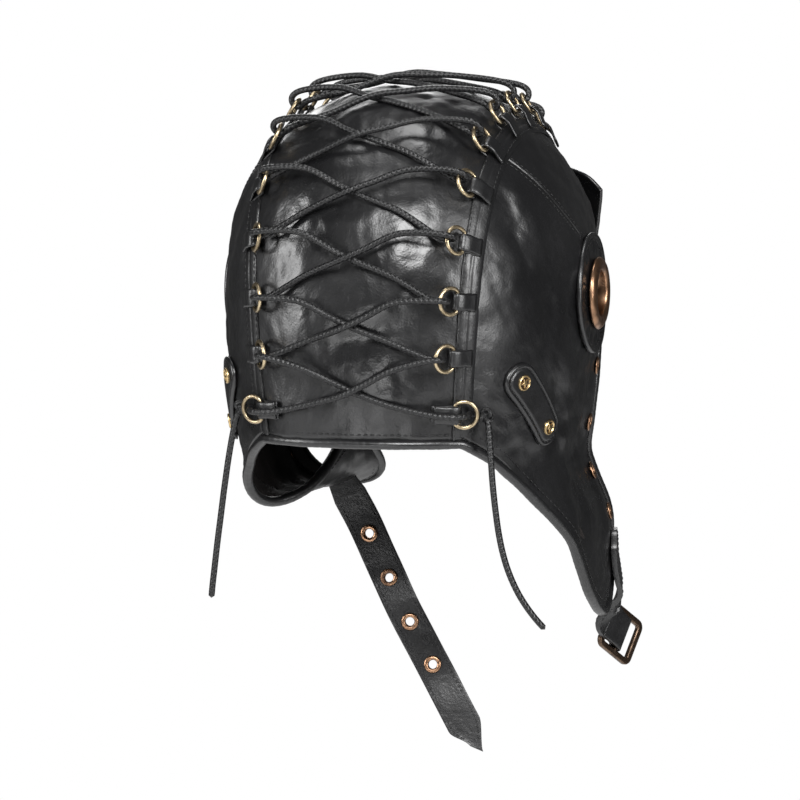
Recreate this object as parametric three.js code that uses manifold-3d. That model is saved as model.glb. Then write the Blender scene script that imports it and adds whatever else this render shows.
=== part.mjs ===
import * as THREE from 'three';
import { mergeVertices } from 'three/addons/utils/BufferGeometryUtils.js';
import Module from 'manifold-3d';

const wasm = await Module();
wasm.setup();

// A leather aviator hat. The wearer looks along -Y, +Z is up, and the origin is
// inside the crown at its highest point, where the hat sits on a head. Millimetres.
// A place on a side is given by y, forward or back, and by its fall below the crown top.

// Leather
const LEATHER = 2;
const CLEAR = 0.3;

// Head form, to the outside of the leather
const HALF_WIDTH = 88;
const FRONT_REACH = 100;
const BACK_REACH = 105;
const CROWN_HEIGHT = 100;
const NAPE_HALF_WIDTH = 79;
const NAPE_REACH = 96;
const NECK_MORE = 14;
const JAW_REACH = 122;
const NAPE_DROP = 166;
const BROW_DROP = 82;
const FLAP_DROP = 256;
const SECTION_POWER = 2.25;
const DOME_POWER = 2.2;

// Crown panel half-widths at the brow, over the crown and at the nape
const SEAM_BROW = 50;
const SEAM_CROWN = 57;
const SEAM_NAPE = 49;

// Flaps: the right one stands off a little, the left one swings forward and rolls in
const FLARE = 12;
const FLARE_DROP = 172;
const SWING = 0.06;
const SWING_DROP = 128;
const ROLL_DROP = 179;
const ROLL_RADIUS = 22;
const ROLL_NARROWING = 0.86;

// Ear opening, its ring and its patch
const EAR_BACK = -7;
const EAR_DROP = 100;
const EAR_HOLE_RADIUS = 11;
const EAR_RING_RADIUS = 17.5;
const EAR_RING_HEIGHT = 3.4;
const EAR_BARREL_WALL = 1.4;
const PATCH_RADIUS = 29;
const PATCH_THICKNESS = 1.5;
const PIPING = 1.6;

// Binding round the edge
const BINDING_WIDTH = 4.8;
const BINDING_THICKNESS = 5.2;
const EDGE_GAP = 0.95;

// Seam welts with the loops that hold the D-rings
const WELT_WIDTH = 8;
const WELT_THICKNESS = 1.3;
const LOOP_WIDTH = 8;
const LOOP_LENGTH = 11;
const RING_PITCH = 26;
const FIRST_RING = 12;
const RINGS = 10;
const RING_SIZE = 14.5;
const RING_WIRE = 2;
const BOW_LIFT = 6.2;

// Laces
const LACE = 3;
const LACE_SLACK = 4;

// Eyelets
const EYELET_RADIUS = 4.4;
const EYELET_HOLE = 2.2;
const EYELET_WALL = 0.5;
const EYELET_EDGE = 12;

// Rivet tabs
const TAB_LENGTH = 50;
const TAB_WIDTH = 17;
const TAB_BACK = 53;
const TAB_DROP = 149;
const TAB_TURN = 0.81;
const RIVET_SPACING = 31;
const RIVET_RADIUS = 3.4;
const RIVET_HEIGHT = 1.9;

// Brow flap
const PEAK_HEIGHT = 37;
const PEAK_HALF_WIDTH = 68;
const PEAK_LIFT = 3.5;

// Chin strap and buckle strap
const STRAP_WIDTH = 17;
const STRAP_THICKNESS = 2.4;
const STRAP_EYELET_PITCH = 24.2;
const BUCKLE_LENGTH = 26;
const BUCKLE_WIDTH = 24.5;
const BUCKLE_BAR = 3.4;

const smooth = (t) => { const c = Math.min(Math.max(t, 0), 1); return c * c * (3 - 2 * c); };
const lerp = (a, b, t) => a + (b - a) * t;
const power = (share, n) => (1 - Math.min(Math.max(share, 0), 1) ** n) ** (1 / n);

// Half-width and reach of the head form at a fall below the crown top
function section(drop) {
  const dome = power(1 - Math.min(drop, CROWN_HEIGHT) / CROWN_HEIGHT, DOME_POWER);
  const below = (drop - CROWN_HEIGHT) / (NAPE_DROP + NECK_MORE - CROWN_HEIGHT);
  const neck = Math.min(Math.max(below, 0), 1) ** 2;
  return {
    half: dome * lerp(HALF_WIDTH, NAPE_HALF_WIDTH, neck),
    back: dome * lerp(BACK_REACH, NAPE_REACH, neck),
    front: dome * lerp(FRONT_REACH, JAW_REACH, neck),
  };
}

const sideAt = (y, drop) => {
  const s = section(drop);
  return s.half * power(Math.abs(y) / (y > 0 ? s.back : s.front), SECTION_POWER);
};
const reachAt = (x, drop, back) => {
  const s = section(drop);
  const share = power(Math.abs(x) / s.half, SECTION_POWER);
  return back ? s.back * share : -s.front * share;
};

// How far a point lies outside the head form, as a signed share
const outside = (x, y, drop) => {
  if (drop <= 0) return 1;
  const s = section(drop);
  return (Math.abs(x) / s.half) ** SECTION_POWER
    + (Math.abs(y) / (y > 0 ? s.back : s.front)) ** SECTION_POWER - 1;
};

// Place on the crown panel: a ray from the ear axis, turned from straight up
function crownPoint(x, turn, lift = 0) {
  const at = (reach) => [EAR_BACK + reach * Math.sin(turn), EAR_DROP - reach * Math.cos(turn)];
  let low = 0;
  let high = 200;
  for (let i = 0; i < 44; i += 1) {
    const mid = (low + high) / 2;
    if (outside(x, ...at(mid)) < 0) low = mid; else high = mid;
  }
  const [y, drop] = at(low + lift);
  return new THREE.Vector3(x, y, LEATHER - drop);
}

const turnTo = (y, drop) => Math.atan2(y - EAR_BACK, EAR_DROP - drop);
const EDGE_INSET = BINDING_WIDTH / 2 + EDGE_GAP;
const seamHalf = (u) => {
  const bow = SEAM_CROWN - (SEAM_BROW + SEAM_NAPE) / 2;
  return lerp(SEAM_BROW, SEAM_NAPE, u) + 4 * u * (1 - u) * bow;
};
const crownTurn = (x, u, inset = EDGE_INSET) => lerp(
  turnTo(reachAt(x, BROW_DROP - inset, false), BROW_DROP - inset),
  turnTo(reachAt(x, NAPE_DROP - inset, true), NAPE_DROP - inset), u);

// u runs from the brow to the nape, v from the right seam at -1 to the left one at 1
const onCrown = (u, v, lift = 0, gap = 0) => {
  const x = v * (seamHalf(u) - gap);
  return crownPoint(x, crownTurn(x, u), lift);
};

// Soft folds pressed into the crown panel, as shares of its run and half-width
const CROWN_FOLDS = [
  { run: 0.50, across: -0.2, long: 0.6, wide: 0.030, deep: 1.4, slant: 0.05 },
  { run: 0.61, across: 0.25, long: 0.6, wide: 0.028, deep: 1.8, slant: -0.06 },
  { run: 0.70, across: -0.1, long: 0.7, wide: 0.026, deep: 2.0, slant: 0.05 },
  { run: 0.79, across: 0.1, long: 0.6, wide: 0.026, deep: 1.8, slant: -0.05 },
  { run: 0.88, across: -0.2, long: 0.6, wide: 0.024, deep: 1.8, slant: 0.04 },
];
function crownFold(u, v) {
  let depth = 0;
  for (const f of CROWN_FOLDS) {
    const along = (u - f.run - f.slant * (v - f.across)) / f.wide;
    const across = (v - f.across) / f.long;
    depth += f.deep * Math.exp(-along * along - across * across * 2);
  }
  return -depth * (1 - v ** 8);
}

// Soft folds on a side, at y and fall, as shares of the back reach and flap drop
const SIDE_FOLDS = [
  { back: 0.45, fall: 0.42, long: 0.16, wide: 0.05, deep: 2.4, lean: 0.4 },
  { back: 0.60, fall: 0.28, long: 0.14, wide: 0.05, deep: 2.0, lean: -0.3 },
  { back: -0.12, fall: 0.66, long: 0.16, wide: 0.045, deep: 2.6, lean: 0.1 },
  { back: 0.12, fall: 0.83, long: 0.11, wide: 0.05, deep: 2.2, lean: 0.5 },
];
function sideFold(y, drop) {
  let depth = 0;
  for (const f of SIDE_FOLDS) {
    const down = drop / FLAP_DROP - f.fall;
    const away = y / BACK_REACH - f.back - f.lean * down;
    depth += f.deep * Math.exp(-((away / f.wide) ** 2) * 0.4 - (down / f.long) ** 2 * 2);
  }
  return depth;
}

// Place on a side's outer face. side is 1 on the wearer's left and -1 on the right.
function onSide(side, y, drop) {
  let yy = y;
  let dd = drop;
  let flare = 0;
  if (side > 0) {
    const swing = SWING * smooth((drop - SWING_DROP) / (NAPE_DROP - SWING_DROP))
      * smooth((SEAM_NAPE + 25 - y) / SEAM_NAPE);
    const [dy, dz] = [y - 10, drop - SWING_DROP];
    yy = 10 + dy * Math.cos(swing) - dz * Math.sin(swing);
    dd = SWING_DROP + dz * Math.cos(swing) + dy * Math.sin(swing);
  } else {
    flare = FLARE * smooth((drop - FLARE_DROP) / (FLAP_DROP - NAPE_DROP) * 2)
      * smooth((SEAM_NAPE + 25 - y) / SEAM_NAPE);
  }
  let x = sideAt(yy, dd) + flare;
  if (side > 0 && dd > ROLL_DROP) {
    const roll = Math.max(smooth((SEAM_NAPE + 25 - y) / SEAM_NAPE), 1e-4) / ROLL_RADIUS;
    const angle = (dd - ROLL_DROP) * roll;
    x -= ROLL_NARROWING * (1 - Math.cos(angle)) / roll;
    dd = ROLL_DROP + Math.sin(angle) / roll;
  }
  return new THREE.Vector3(side * x, yy, LEATHER - dd);
}

// Surface frame: back is along the side toward the nape, up toward the crown
function sideFrame(side, y, drop) {
  const step = 0.5;
  const p = onSide(side, y, drop);
  const back = onSide(side, y + step, drop).sub(onSide(side, y - step, drop)).normalize();
  const up = onSide(side, y, drop - step).sub(onSide(side, y, drop + step)).normalize();
  const out = new THREE.Vector3().crossVectors(back, up).multiplyScalar(side).normalize();
  return { p, back, up, out };
}

const raised = (frame, lift) => frame.p.clone().addScaledVector(frame.out, lift);

// Closed mesh helpers
function clean(geometry) {
  const g = geometry.index ? geometry : mergeVertices(geometry);
  g.deleteAttribute('normal');
  g.deleteAttribute('uv');
  const merged = mergeVertices(g, 1e-4);
  const index = merged.index.array;
  const kept = [];
  for (let i = 0; i < index.length; i += 3) {
    const [a, b, c] = [index[i], index[i + 1], index[i + 2]];
    if (a !== b && b !== c && c !== a) kept.push(a, b, c);
  }
  merged.setIndex(kept);
  return merged;
}

function volume(geometry) {
  const p = geometry.attributes.position;
  const index = geometry.index.array;
  const [a, b, c] = [new THREE.Vector3(), new THREE.Vector3(), new THREE.Vector3()];
  let sum = 0;
  for (let i = 0; i < index.length; i += 3) {
    a.fromBufferAttribute(p, index[i]);
    b.fromBufferAttribute(p, index[i + 1]);
    c.fromBufferAttribute(p, index[i + 2]);
    sum += a.dot(b.cross(c)) / 6;
  }
  return sum;
}

// A left copy made by mirroring is inside out, so its triangles are turned
function faceOut(geometry) {
  const g = clean(geometry);
  if (volume(g) < 0) {
    const index = Array.from(g.index.array);
    for (let i = 0; i < index.length; i += 3) {
      [index[i + 1], index[i + 2]] = [index[i + 2], index[i + 1]];
    }
    g.setIndex(index);
  }
  return g;
}

function solid(geometry) {
  const g = faceOut(geometry);
  return new wasm.Manifold(new wasm.Mesh({
    numProp: 3,
    vertProperties: new Float32Array(g.attributes.position.array),
    triVerts: new Uint32Array(g.index.array),
  }));
}

function fromSolid(body) {
  const mesh = body.getMesh();
  const g = new THREE.BufferGeometry();
  g.setAttribute('position', new THREE.BufferAttribute(new Float32Array(mesh.vertProperties), 3));
  g.setIndex(Array.from(mesh.triVerts));
  return g;
}

function mapped(geometry, place) {
  const g = clean(geometry);
  const p = g.attributes.position;
  for (let i = 0; i < p.count; i += 1) {
    const q = place(p.getX(i), p.getY(i), p.getZ(i));
    p.setXYZ(i, q.x, q.y, q.z);
  }
  return faceOut(g);
}

// A sheet: outer(u, v) gives its outer face, and it is thick inward
function sheet(nu, nv, outer, thick) {
  const h = 1e-3;
  const normal = (u, v) => {
    const inU = Math.min(Math.max(u, h), 1 - h);
    const inV = Math.min(Math.max(v, h), 1 - h);
    const du = outer(inU + h, inV).sub(outer(inU - h, inV));
    const dv = outer(inU, inV + h).sub(outer(inU, inV - h));
    return du.cross(dv).normalize();
  };
  const [start, away] = [outer(0.3, 0.3), normal(0.3, 0.3)];
  start.z += CROWN_HEIGHT;
  const turned = away.dot(start) < 0 ? -1 : 1;
  return mapped(new THREE.BoxGeometry(1, 1, 1, nu, nv, 1), (a, b, c) => {
    const p = outer(a + 0.5, b + 0.5);
    return c > 0 ? p : p.addScaledVector(normal(a + 0.5, b + 0.5), -thick * turned);
  });
}

// A closed loop of wire or binding: frame(t) gives its centre and two section axes
function loop(sides, steps, frame, turn = 0) {
  const g = new THREE.TorusGeometry(2, 1, sides, steps);
  return mapped(g, (x, y, z) => {
    const t = Math.atan2(y, x);
    const f = frame((t / (2 * Math.PI) + 1) % 1);
    const across = Math.hypot(x, y) - 2;
    const [c, s] = [Math.cos(turn), Math.sin(turn)];
    return f.p.clone().addScaledVector(f.a, across * c - z * s)
      .addScaledVector(f.b, across * s + z * c);
  });
}

// A route whose steps fall on its own points
class Route extends THREE.Curve {
  constructor(points) {
    super();
    this.points = points;
  }

  getPoint(t, target = new THREE.Vector3()) {
    const s = Math.min(Math.max(t, 0), 1) * (this.points.length - 1);
    const i = Math.min(Math.floor(s), this.points.length - 2);
    return target.lerpVectors(this.points[i], this.points[i + 1], s - i);
  }

  getUtoTmapping(u) {
    return u;
  }
}

function cord(points, diameter, sides = 8) {
  const shape = new THREE.Shape();
  for (let i = 0; i < sides; i += 1) {
    const a = (i / sides) * 2 * Math.PI;
    const [x, y] = [Math.cos(a) * diameter / 2, Math.sin(a) * diameter / 2];
    if (i === 0) shape.moveTo(x, y); else shape.lineTo(x, y);
  }
  shape.closePath();
  return faceOut(new THREE.ExtrudeGeometry(shape, {
    steps: points.length - 1, extrudePath: new Route(points), curveSegments: 1,
  }));
}

const LEATHER_LOOK = { color: 0x0c0c0d, roughness: 0.38, metalness: 0 };
const LACE_LOOK = { color: 0x101011, roughness: 0.6, metalness: 0 };
const BRASS_LOOK = { color: 0xa98a58, roughness: 0.35, metalness: 1 };
const COPPER_LOOK = { color: 0x8a5a3a, roughness: 0.35, metalness: 1 };
const BRONZE_LOOK = { color: 0x4a3a2c, roughness: 0.42, metalness: 1 };

const hat = new THREE.Group();
function add(name, geometry, look) {
  const mesh = new THREE.Mesh(geometry, new THREE.MeshStandardMaterial(look));
  mesh.name = name;
  hat.add(mesh);
  return mesh;
}

const SIDES = [{ name: 'left', side: 1 }, { name: 'right', side: -1 }];

// Crown panel
const CROWN_STEPS = 22;
const crownSheet = sheet(CROWN_STEPS, 5, (u, b) => {
  const v = b * 2 - 1;
  return onCrown(u, v, crownFold(u, v), CLEAR);
}, LEATHER);
add('crown_panel', crownSheet, LEATHER_LOOK);

// Edge of a side, from the brow down the front of the flap to its tip. ahead is a share
// of the front reach, fall a share of the way from the brow to the tip.
const FRONT_EDGE = [
  { ahead: 0.72, fall: 0.035 },
  { ahead: 0.57, fall: 0.110 },
  { ahead: 0.455, fall: 0.210 },
  { ahead: 0.385, fall: 0.340 },
  { ahead: 0.385, fall: 0.470 },
  { ahead: 0.450, fall: 0.600 },
  { ahead: 0.560, fall: 0.725 },
  { ahead: 0.620, fall: 0.850 },
  { ahead: 0.500, fall: 0.935 },
  { ahead: 0.230, fall: 1.000 },
];
// From the tip up the back of the flap to the nape, as shares of the back reach and of
// the way from the nape to the tip
const REAR_EDGE = [
  { behind: 0.070, fall: 0.850 },
  { behind: 0.320, fall: 0.500 },
  { behind: 0.550, fall: 0.200 },
];
const browCorner = (inset) => new THREE.Vector2(
  reachAt(SEAM_BROW, BROW_DROP - inset, false), BROW_DROP - inset);
const napeCorner = (inset) => new THREE.Vector2(
  reachAt(SEAM_NAPE, NAPE_DROP - inset, true), NAPE_DROP - inset);
const edgePoints = [
  browCorner(0),
  ...FRONT_EDGE.map((r) => new THREE.Vector2(
    -r.ahead * FRONT_REACH, lerp(BROW_DROP, FLAP_DROP, r.fall))),
  ...REAR_EDGE.map((r) => new THREE.Vector2(
    r.behind * BACK_REACH, lerp(NAPE_DROP, FLAP_DROP, r.fall))),
  napeCorner(0),
];
const edgeCurve = new THREE.SplineCurve(edgePoints);
const EDGE_LAST = edgePoints.length - 1;
const TEMPLE_AT = 1 / EDGE_LAST;
const EAR_FRONT_AT = 3 / EDGE_LAST;
const TIP_AT = FRONT_EDGE.length / EDGE_LAST;

// A point of the edge moved in by inset; t runs by the listed rows
function edgeAt(t, inset = 0) {
  const p = edgeCurve.getPoint(t);
  const d = edgeCurve.getPoint(Math.min(t + 0.002, 1)).sub(edgeCurve.getPoint(Math.max(t - 0.002, 0)));
  d.normalize();
  return new THREE.Vector2(p.x + d.y * inset, p.y - d.x * inset);
}

// The side seam, from the crown seam over the top of the ear patch to the front edge
const SEAM_TOP = 0.565;
const seamPoint = (u, gap) => {
  const p = crownPoint(seamHalf(u) + gap, crownTurn(seamHalf(u), u));
  return new THREE.Vector2(p.y, LEATHER - p.z);
};
function sideSeam(v, shift) {
  const top = seamPoint(SEAM_TOP, CLEAR);
  const low = edgeAt(EAR_FRONT_AT, EDGE_INSET);
  const curve = new THREE.SplineCurve([
    top,
    new THREE.Vector2(lerp(EAR_BACK, top.x, 0.55), lerp(top.y, EAR_DROP, 0.4)),
    new THREE.Vector2(EAR_BACK + 1, lerp(top.y, EAR_DROP, 0.75)),
    new THREE.Vector2(EAR_BACK - 3, EAR_DROP),
    low,
  ]);
  const p = curve.getPoint(v);
  const d = curve.getPoint(Math.min(v + 0.01, 1)).sub(curve.getPoint(Math.max(v - 0.01, 0)));
  d.normalize();
  return new THREE.Vector2(p.x + d.y * shift, p.y - d.x * shift);
}

// Blend between the four edges of a panel laid flat
function coons(top, bottom, start, end) {
  const corners = [top(0), top(1), bottom(0), bottom(1)];
  const pinned = (edge, first, last) => (v) => edge(v)
    .addScaledVector(first.clone().sub(edge(0)), (1 - v) ** 4)
    .addScaledVector(last.clone().sub(edge(1)), v ** 4);
  const startPinned = pinned(start, corners[0], corners[2]);
  const endPinned = pinned(end, corners[1], corners[3]);
  return (u, v) => {
    const [t, b, s, e] = [top(u), bottom(u), startPinned(v), endPinned(v)];
    const mix = (key) => lerp(t[key], b[key], v) + lerp(s[key], e[key], u)
      - lerp(lerp(corners[0][key], corners[1][key], u), lerp(corners[2][key], corners[3][key], u), v);
    return new THREE.Vector2(mix('x'), mix('y'));
  };
}

const rearFlat = coons(
  (u) => seamPoint(lerp(SEAM_TOP + 0.001, 1, u), CLEAR),
  (u) => edgeAt(lerp(EAR_FRONT_AT, TIP_AT, u), EDGE_INSET),
  (v) => sideSeam(v, CLEAR),
  (v) => edgeAt(lerp(1, TIP_AT, v), EDGE_INSET),
);
const frontFlat = coons(
  (u) => seamPoint(lerp(SEAM_TOP - 0.001, 0, u), CLEAR),
  (u) => edgeAt(lerp(EAR_FRONT_AT, TEMPLE_AT, u), EDGE_INSET),
  (v) => sideSeam(v, -CLEAR),
  (v) => edgeAt(lerp(0, TEMPLE_AT, v), EDGE_INSET),
);

// Wraps a flat piece onto a side: its x runs back, its y up and its z stands off
function wrapped(geometry, side, y, drop) {
  return mapped(geometry, (a, b, c) => raised(sideFrame(side, y + a, drop - b), c));
}

// Straight round cutter through a side
function cutter(side, y, drop, radius, sides = 16) {
  const g = new THREE.CylinderGeometry(radius, radius, 16, sides).rotateX(Math.PI / 2);
  const f = sideFrame(side, y, drop);
  const m = new THREE.Matrix4().makeBasis(f.back.clone().multiplyScalar(side),
    new THREE.Vector3().crossVectors(f.out, f.back.clone().multiplyScalar(side)), f.out);
  return g.applyMatrix4(m.setPosition(f.p));
}

// Places of the front-edge eyelets, as rows along the edge
const EYELET_ROWS = [3.9, 4.95, 5.9, 6.8];
const eyeletPlaces = EYELET_ROWS.map((row) => edgeAt(row / EDGE_LAST, EYELET_EDGE));

const SEAM_STEPS = 8;
for (const { name, side } of SIDES) {
  const rear = sheet(12, SEAM_STEPS, (u, v) => {
    const q = rearFlat(u, v);
    const fold = sideFold(q.x, q.y) * Math.min(1, 16 * u * (1 - u), 16 * v * (1 - v));
    return raised(sideFrame(side, q.x, q.y), -fold);
  }, LEATHER);
  const front = sheet(7, SEAM_STEPS, (u, v) => {
    const q = frontFlat(u, v);
    return onSide(side, q.x, q.y);
  }, LEATHER);
  const hole = solid(cutter(side, EAR_BACK, EAR_DROP, EAR_HOLE_RADIUS + EAR_BARREL_WALL + CLEAR));
  let rearBody = solid(rear).subtract(hole);
  for (const q of eyeletPlaces) {
    const punch = cutter(side, q.x, q.y, EYELET_HOLE + EYELET_WALL + CLEAR * 2, 7);
    rearBody = rearBody.subtract(solid(punch));
  }
  add(`side_panel_${name}`, fromSolid(rearBody), LEATHER_LOOK);
  add(`front_panel_${name}`, fromSolid(solid(front).subtract(hole)), LEATHER_LOOK);
}

// Binding: a closed roll round the whole edge
const across = (ahead, behind, out, middle) => {
  const along = ahead.clone().sub(behind).normalize();
  const a = new THREE.Vector3().crossVectors(along, out).normalize();
  return {
    p: middle,
    a: a.multiplyScalar(BINDING_WIDTH / 2),
    b: out.clone().multiplyScalar(BINDING_THICKNESS / 2),
  };
};
function crownEdge(u, v) {
  const point = (w) => {
    const x = w * seamHalf(u);
    return crownPoint(x, crownTurn(x, u, 0));
  };
  const p = point(v);
  const out = formNormal(p);
  return { p, ahead: point(v + 0.01), behind: point(v - 0.01), out };
}
function sideEdge(side, t) {
  const q = edgeAt(t);
  const f = sideFrame(side, q.x, q.y);
  const [q1, q0] = [edgeAt(Math.min(t + 0.004, 1)), edgeAt(Math.max(t - 0.004, 0))];
  return { p: f.p, ahead: onSide(side, q1.x, q1.y), behind: onSide(side, q0.x, q0.y), out: f.out };
}
function formNormal(p) {
  const h = 0.05;
  const f = (x, y, z) => outside(x, y, LEATHER - z);
  return new THREE.Vector3(
    f(p.x + h, p.y, p.z) - f(p.x - h, p.y, p.z),
    f(p.x, p.y + h, p.z) - f(p.x, p.y - h, p.z),
    f(p.x, p.y, p.z + h) - f(p.x, p.y, p.z - h)).normalize();
}
const edgeRun = [];
const CROWN_EDGE_STEPS = 6;
const SIDE_EDGE_STEPS = 36;
const edgeRow = (i) => edgeCurve.getUtoTmapping(i / SIDE_EDGE_STEPS);
for (let i = 0; i < CROWN_EDGE_STEPS; i += 1) {
  edgeRun.push(crownEdge(0, -1 + (2 * i + 1) / CROWN_EDGE_STEPS));
}
for (let i = 0; i <= SIDE_EDGE_STEPS; i += 1) edgeRun.push(sideEdge(1, edgeRow(i)));
for (let i = 0; i < CROWN_EDGE_STEPS; i += 1) {
  const e = crownEdge(1, 1 - (2 * i + 1) / CROWN_EDGE_STEPS);
  edgeRun.push({ ...e, ahead: e.behind, behind: e.ahead });
}
for (let i = SIDE_EDGE_STEPS; i >= 0; i -= 1) {
  const e = sideEdge(-1, edgeRow(i));
  edgeRun.push({ ...e, ahead: e.behind, behind: e.ahead });
}
add('rim_binding', loop(5, edgeRun.length, (t) => {
  const e = edgeRun[Math.round(t * edgeRun.length) % edgeRun.length];
  const middle = e.p.clone().addScaledVector(e.out, -LEATHER / 2);
  return across(e.ahead, e.behind, e.out, middle);
}), LEATHER_LOOK);

// Seam welts with the loops of the D-rings
const SEAM_SAMPLES = 400;
const seamRun = [0];
for (let i = 1; i <= SEAM_SAMPLES; i += 1) {
  const a = onCrown(1 - (i - 1) / SEAM_SAMPLES, 1);
  seamRun.push(seamRun[i - 1] + a.distanceTo(onCrown(1 - i / SEAM_SAMPLES, 1)));
}
// u at a length of seam measured up from the nape
function seamAt(length) {
  const i = Math.max(seamRun.findIndex((s) => s >= length), 1);
  const part = (length - seamRun[i - 1]) / (seamRun[i] - seamRun[i - 1]);
  return 1 - (i - 1 + part) / SEAM_SAMPLES;
}
// Local frame on the seam: inward is toward the middle of the crown panel
function seamFrame(side, u) {
  const p = onCrown(u, side);
  const out = formNormal(p);
  const down = onCrown(Math.min(u + 0.002, 1), side).sub(onCrown(u - 0.002, side)).normalize();
  const inward = new THREE.Vector3().crossVectors(down, out).normalize();
  if (inward.x * side > 0) inward.negate();
  return { p, out, down, inward };
}
const local = (f, x, y, z) => f.p.clone().addScaledVector(f.inward, x)
  .addScaledVector(f.down, y).addScaledVector(f.out, z);

const WIRE_HOLE = RING_WIRE / 2 + CLEAR;
const LOOP_WALL = 1.2;
const BAR_HEIGHT = CLEAR + 0.3 + LOOP_WALL + WIRE_HOLE;
const BAR_AT = LOOP_LENGTH - LOOP_WALL - WIRE_HOLE - 1;
const RING_BEND = (RING_SIZE - RING_WIRE) / 2;
const RING_FLAT = RING_BEND * 0.66;
const BOW_TILT = Math.asin((BOW_LIFT - BAR_HEIGHT) / (RING_BEND + RING_FLAT));
const BOW_AT = BAR_AT + (RING_BEND + RING_FLAT) * Math.cos(BOW_TILT);

// The lowest ring of each side is turned out toward the seam, the others lie inward
const TURNED_RING_IN = 5;
function ringFrame(side, k) {
  const f = seamFrame(side, seamAt(FIRST_RING + k * RING_PITCH));
  if (k > 0) return f;
  return { ...f, p: local(f, BAR_AT + TURNED_RING_IN, 0, 0), inward: f.inward.clone().negate() };
}

function loopShape() {
  const shape = new THREE.Shape();
  const outer = LOOP_WALL + WIRE_HOLE;
  const base = CLEAR + 0.3;
  const round = (radius, from, to, sides) => Array.from({ length: sides + 1 }, (_, i) => {
    const a = lerp(from, to, i / sides);
    return new THREE.Vector2(BAR_AT + radius * Math.cos(a), BAR_HEIGHT + radius * Math.sin(a));
  });
  shape.setFromPoints([
    new THREE.Vector2(-WELT_WIDTH / 2 + 1, base),
    ...round(outer, -Math.PI / 2, Math.PI / 2, 3),
    new THREE.Vector2(-WELT_WIDTH / 2 + 3, WELT_THICKNESS + base),
  ]);
  const hole = round(WIRE_HOLE / Math.cos(Math.PI / 6), 0, 2 * Math.PI, 6).slice(0, 6);
  shape.holes.push(new THREE.Path(hole));
  return shape;
}

function placed(geometry, f) {
  const m = new THREE.Matrix4().makeBasis(f.inward, f.out, f.down);
  return faceOut(clean(geometry).applyMatrix4(m.setPosition(f.p)));
}

for (const { name, side } of SIDES) {
  const strip = mapped(new THREE.BoxGeometry(1, 1, 1, 26, 1, 1), (a, b, c) => {
    const u = lerp(0.004, 0.996, a + 0.5);
    const x = seamHalf(u) + b * WELT_WIDTH;
    return crownPoint(side * x, crownTurn(seamHalf(u), u),
      CLEAR * 2 + (c + 0.5) * WELT_THICKNESS);
  });
  let welt = solid(strip);
  for (let k = 0; k < RINGS; k += 1) {
    const g = new THREE.ExtrudeGeometry(loopShape(), {
      depth: LOOP_WIDTH, bevelEnabled: false,
    }).translate(0, 0, -LOOP_WIDTH / 2);
    welt = welt.add(solid(placed(g, ringFrame(side, k))));
  }
  add(`seam_welt_${name}`, fromSolid(welt), LEATHER_LOOK);
}

// D-rings
for (const { name, side } of SIDES) {
  for (let k = 0; k < RINGS; k += 1) {
    const f = ringFrame(side, k);
    const toBow = f.inward.clone().multiplyScalar(Math.cos(BOW_TILT))
      .addScaledVector(f.out, Math.sin(BOW_TILT));
    const stand = new THREE.Vector3().crossVectors(toBow, f.down).normalize();
    add(`d_ring_${name}_${k + 1}`, loop(5, 8, (t) => {
      const [c, s] = [Math.cos(2 * Math.PI * t), Math.sin(2 * Math.PI * t)];
      const x = Math.max(RING_BEND * c, -RING_FLAT) + RING_FLAT;
      return {
        p: local(f, BAR_AT, RING_BEND * s, BAR_HEIGHT).addScaledVector(toBow, x),
        a: toBow.clone().multiplyScalar(c * RING_WIRE / 2)
          .addScaledVector(f.down, s * RING_WIRE / 2),
        b: stand.clone().multiplyScalar(RING_WIRE / 2),
      };
    }), BRASS_LOOK);
  }
}

// Laces. Each strand crosses from ring to ring, comes in under a bow, turns round its
// wire and leaves over it. The odd rings of one side belong to one strand.
const TURN = RING_WIRE / 2 + LACE / 2 + CLEAR + 0.3;
const LACE_REST = LACE / 2 + CLEAR + 0.3;
const turnRound = (side, k) => {
  const f = ringFrame(side, k);
  const at = (x, z) => local(f, BOW_AT + x, 0, BOW_LIFT + z);
  return [
    at(TURN * 0.8, -TURN), at(-TURN * 0.6, -TURN * 0.92), at(-TURN * 1.12, 0),
    at(-TURN * 0.6, TURN * 0.92), at(TURN * 0.8, TURN),
  ];
};
// Stretch between two rings, as shares of the way, height and crossing
const LACE_STEPS = [
  { way: 0.18, height: 0.7, over: 0 },
  { way: 0.40, height: 0.05, over: 0.8 },
  { way: 0.56, height: 0, over: 0.9 },
  { way: 0.80, height: 0, over: 0 },
];
function stretch(fromSide, k, over) {
  const [u0, u1] = [seamAt(FIRST_RING + k * RING_PITCH), seamAt(FIRST_RING + (k - 1) * RING_PITCH)];
  const high = BOW_LIFT + TURN - LACE_REST;
  const ringX = (u) => seamHalf(u) - BOW_AT;
  return LACE_STEPS.map((s) => {
    const u = lerp(u0, u1, s.way);
    const x = lerp(fromSide * ringX(u0), -fromSide * ringX(u1), s.way);
    const slack = LACE_SLACK * Math.sin(Math.PI * s.way);
    const lift = LACE_REST + s.height * high + (over ? s.over * (LACE + CLEAR * 3) : 0);
    const turn = crownTurn(x, u) + slack / BACK_REACH;
    return crownPoint(x, turn, lift);
  });
}
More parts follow.
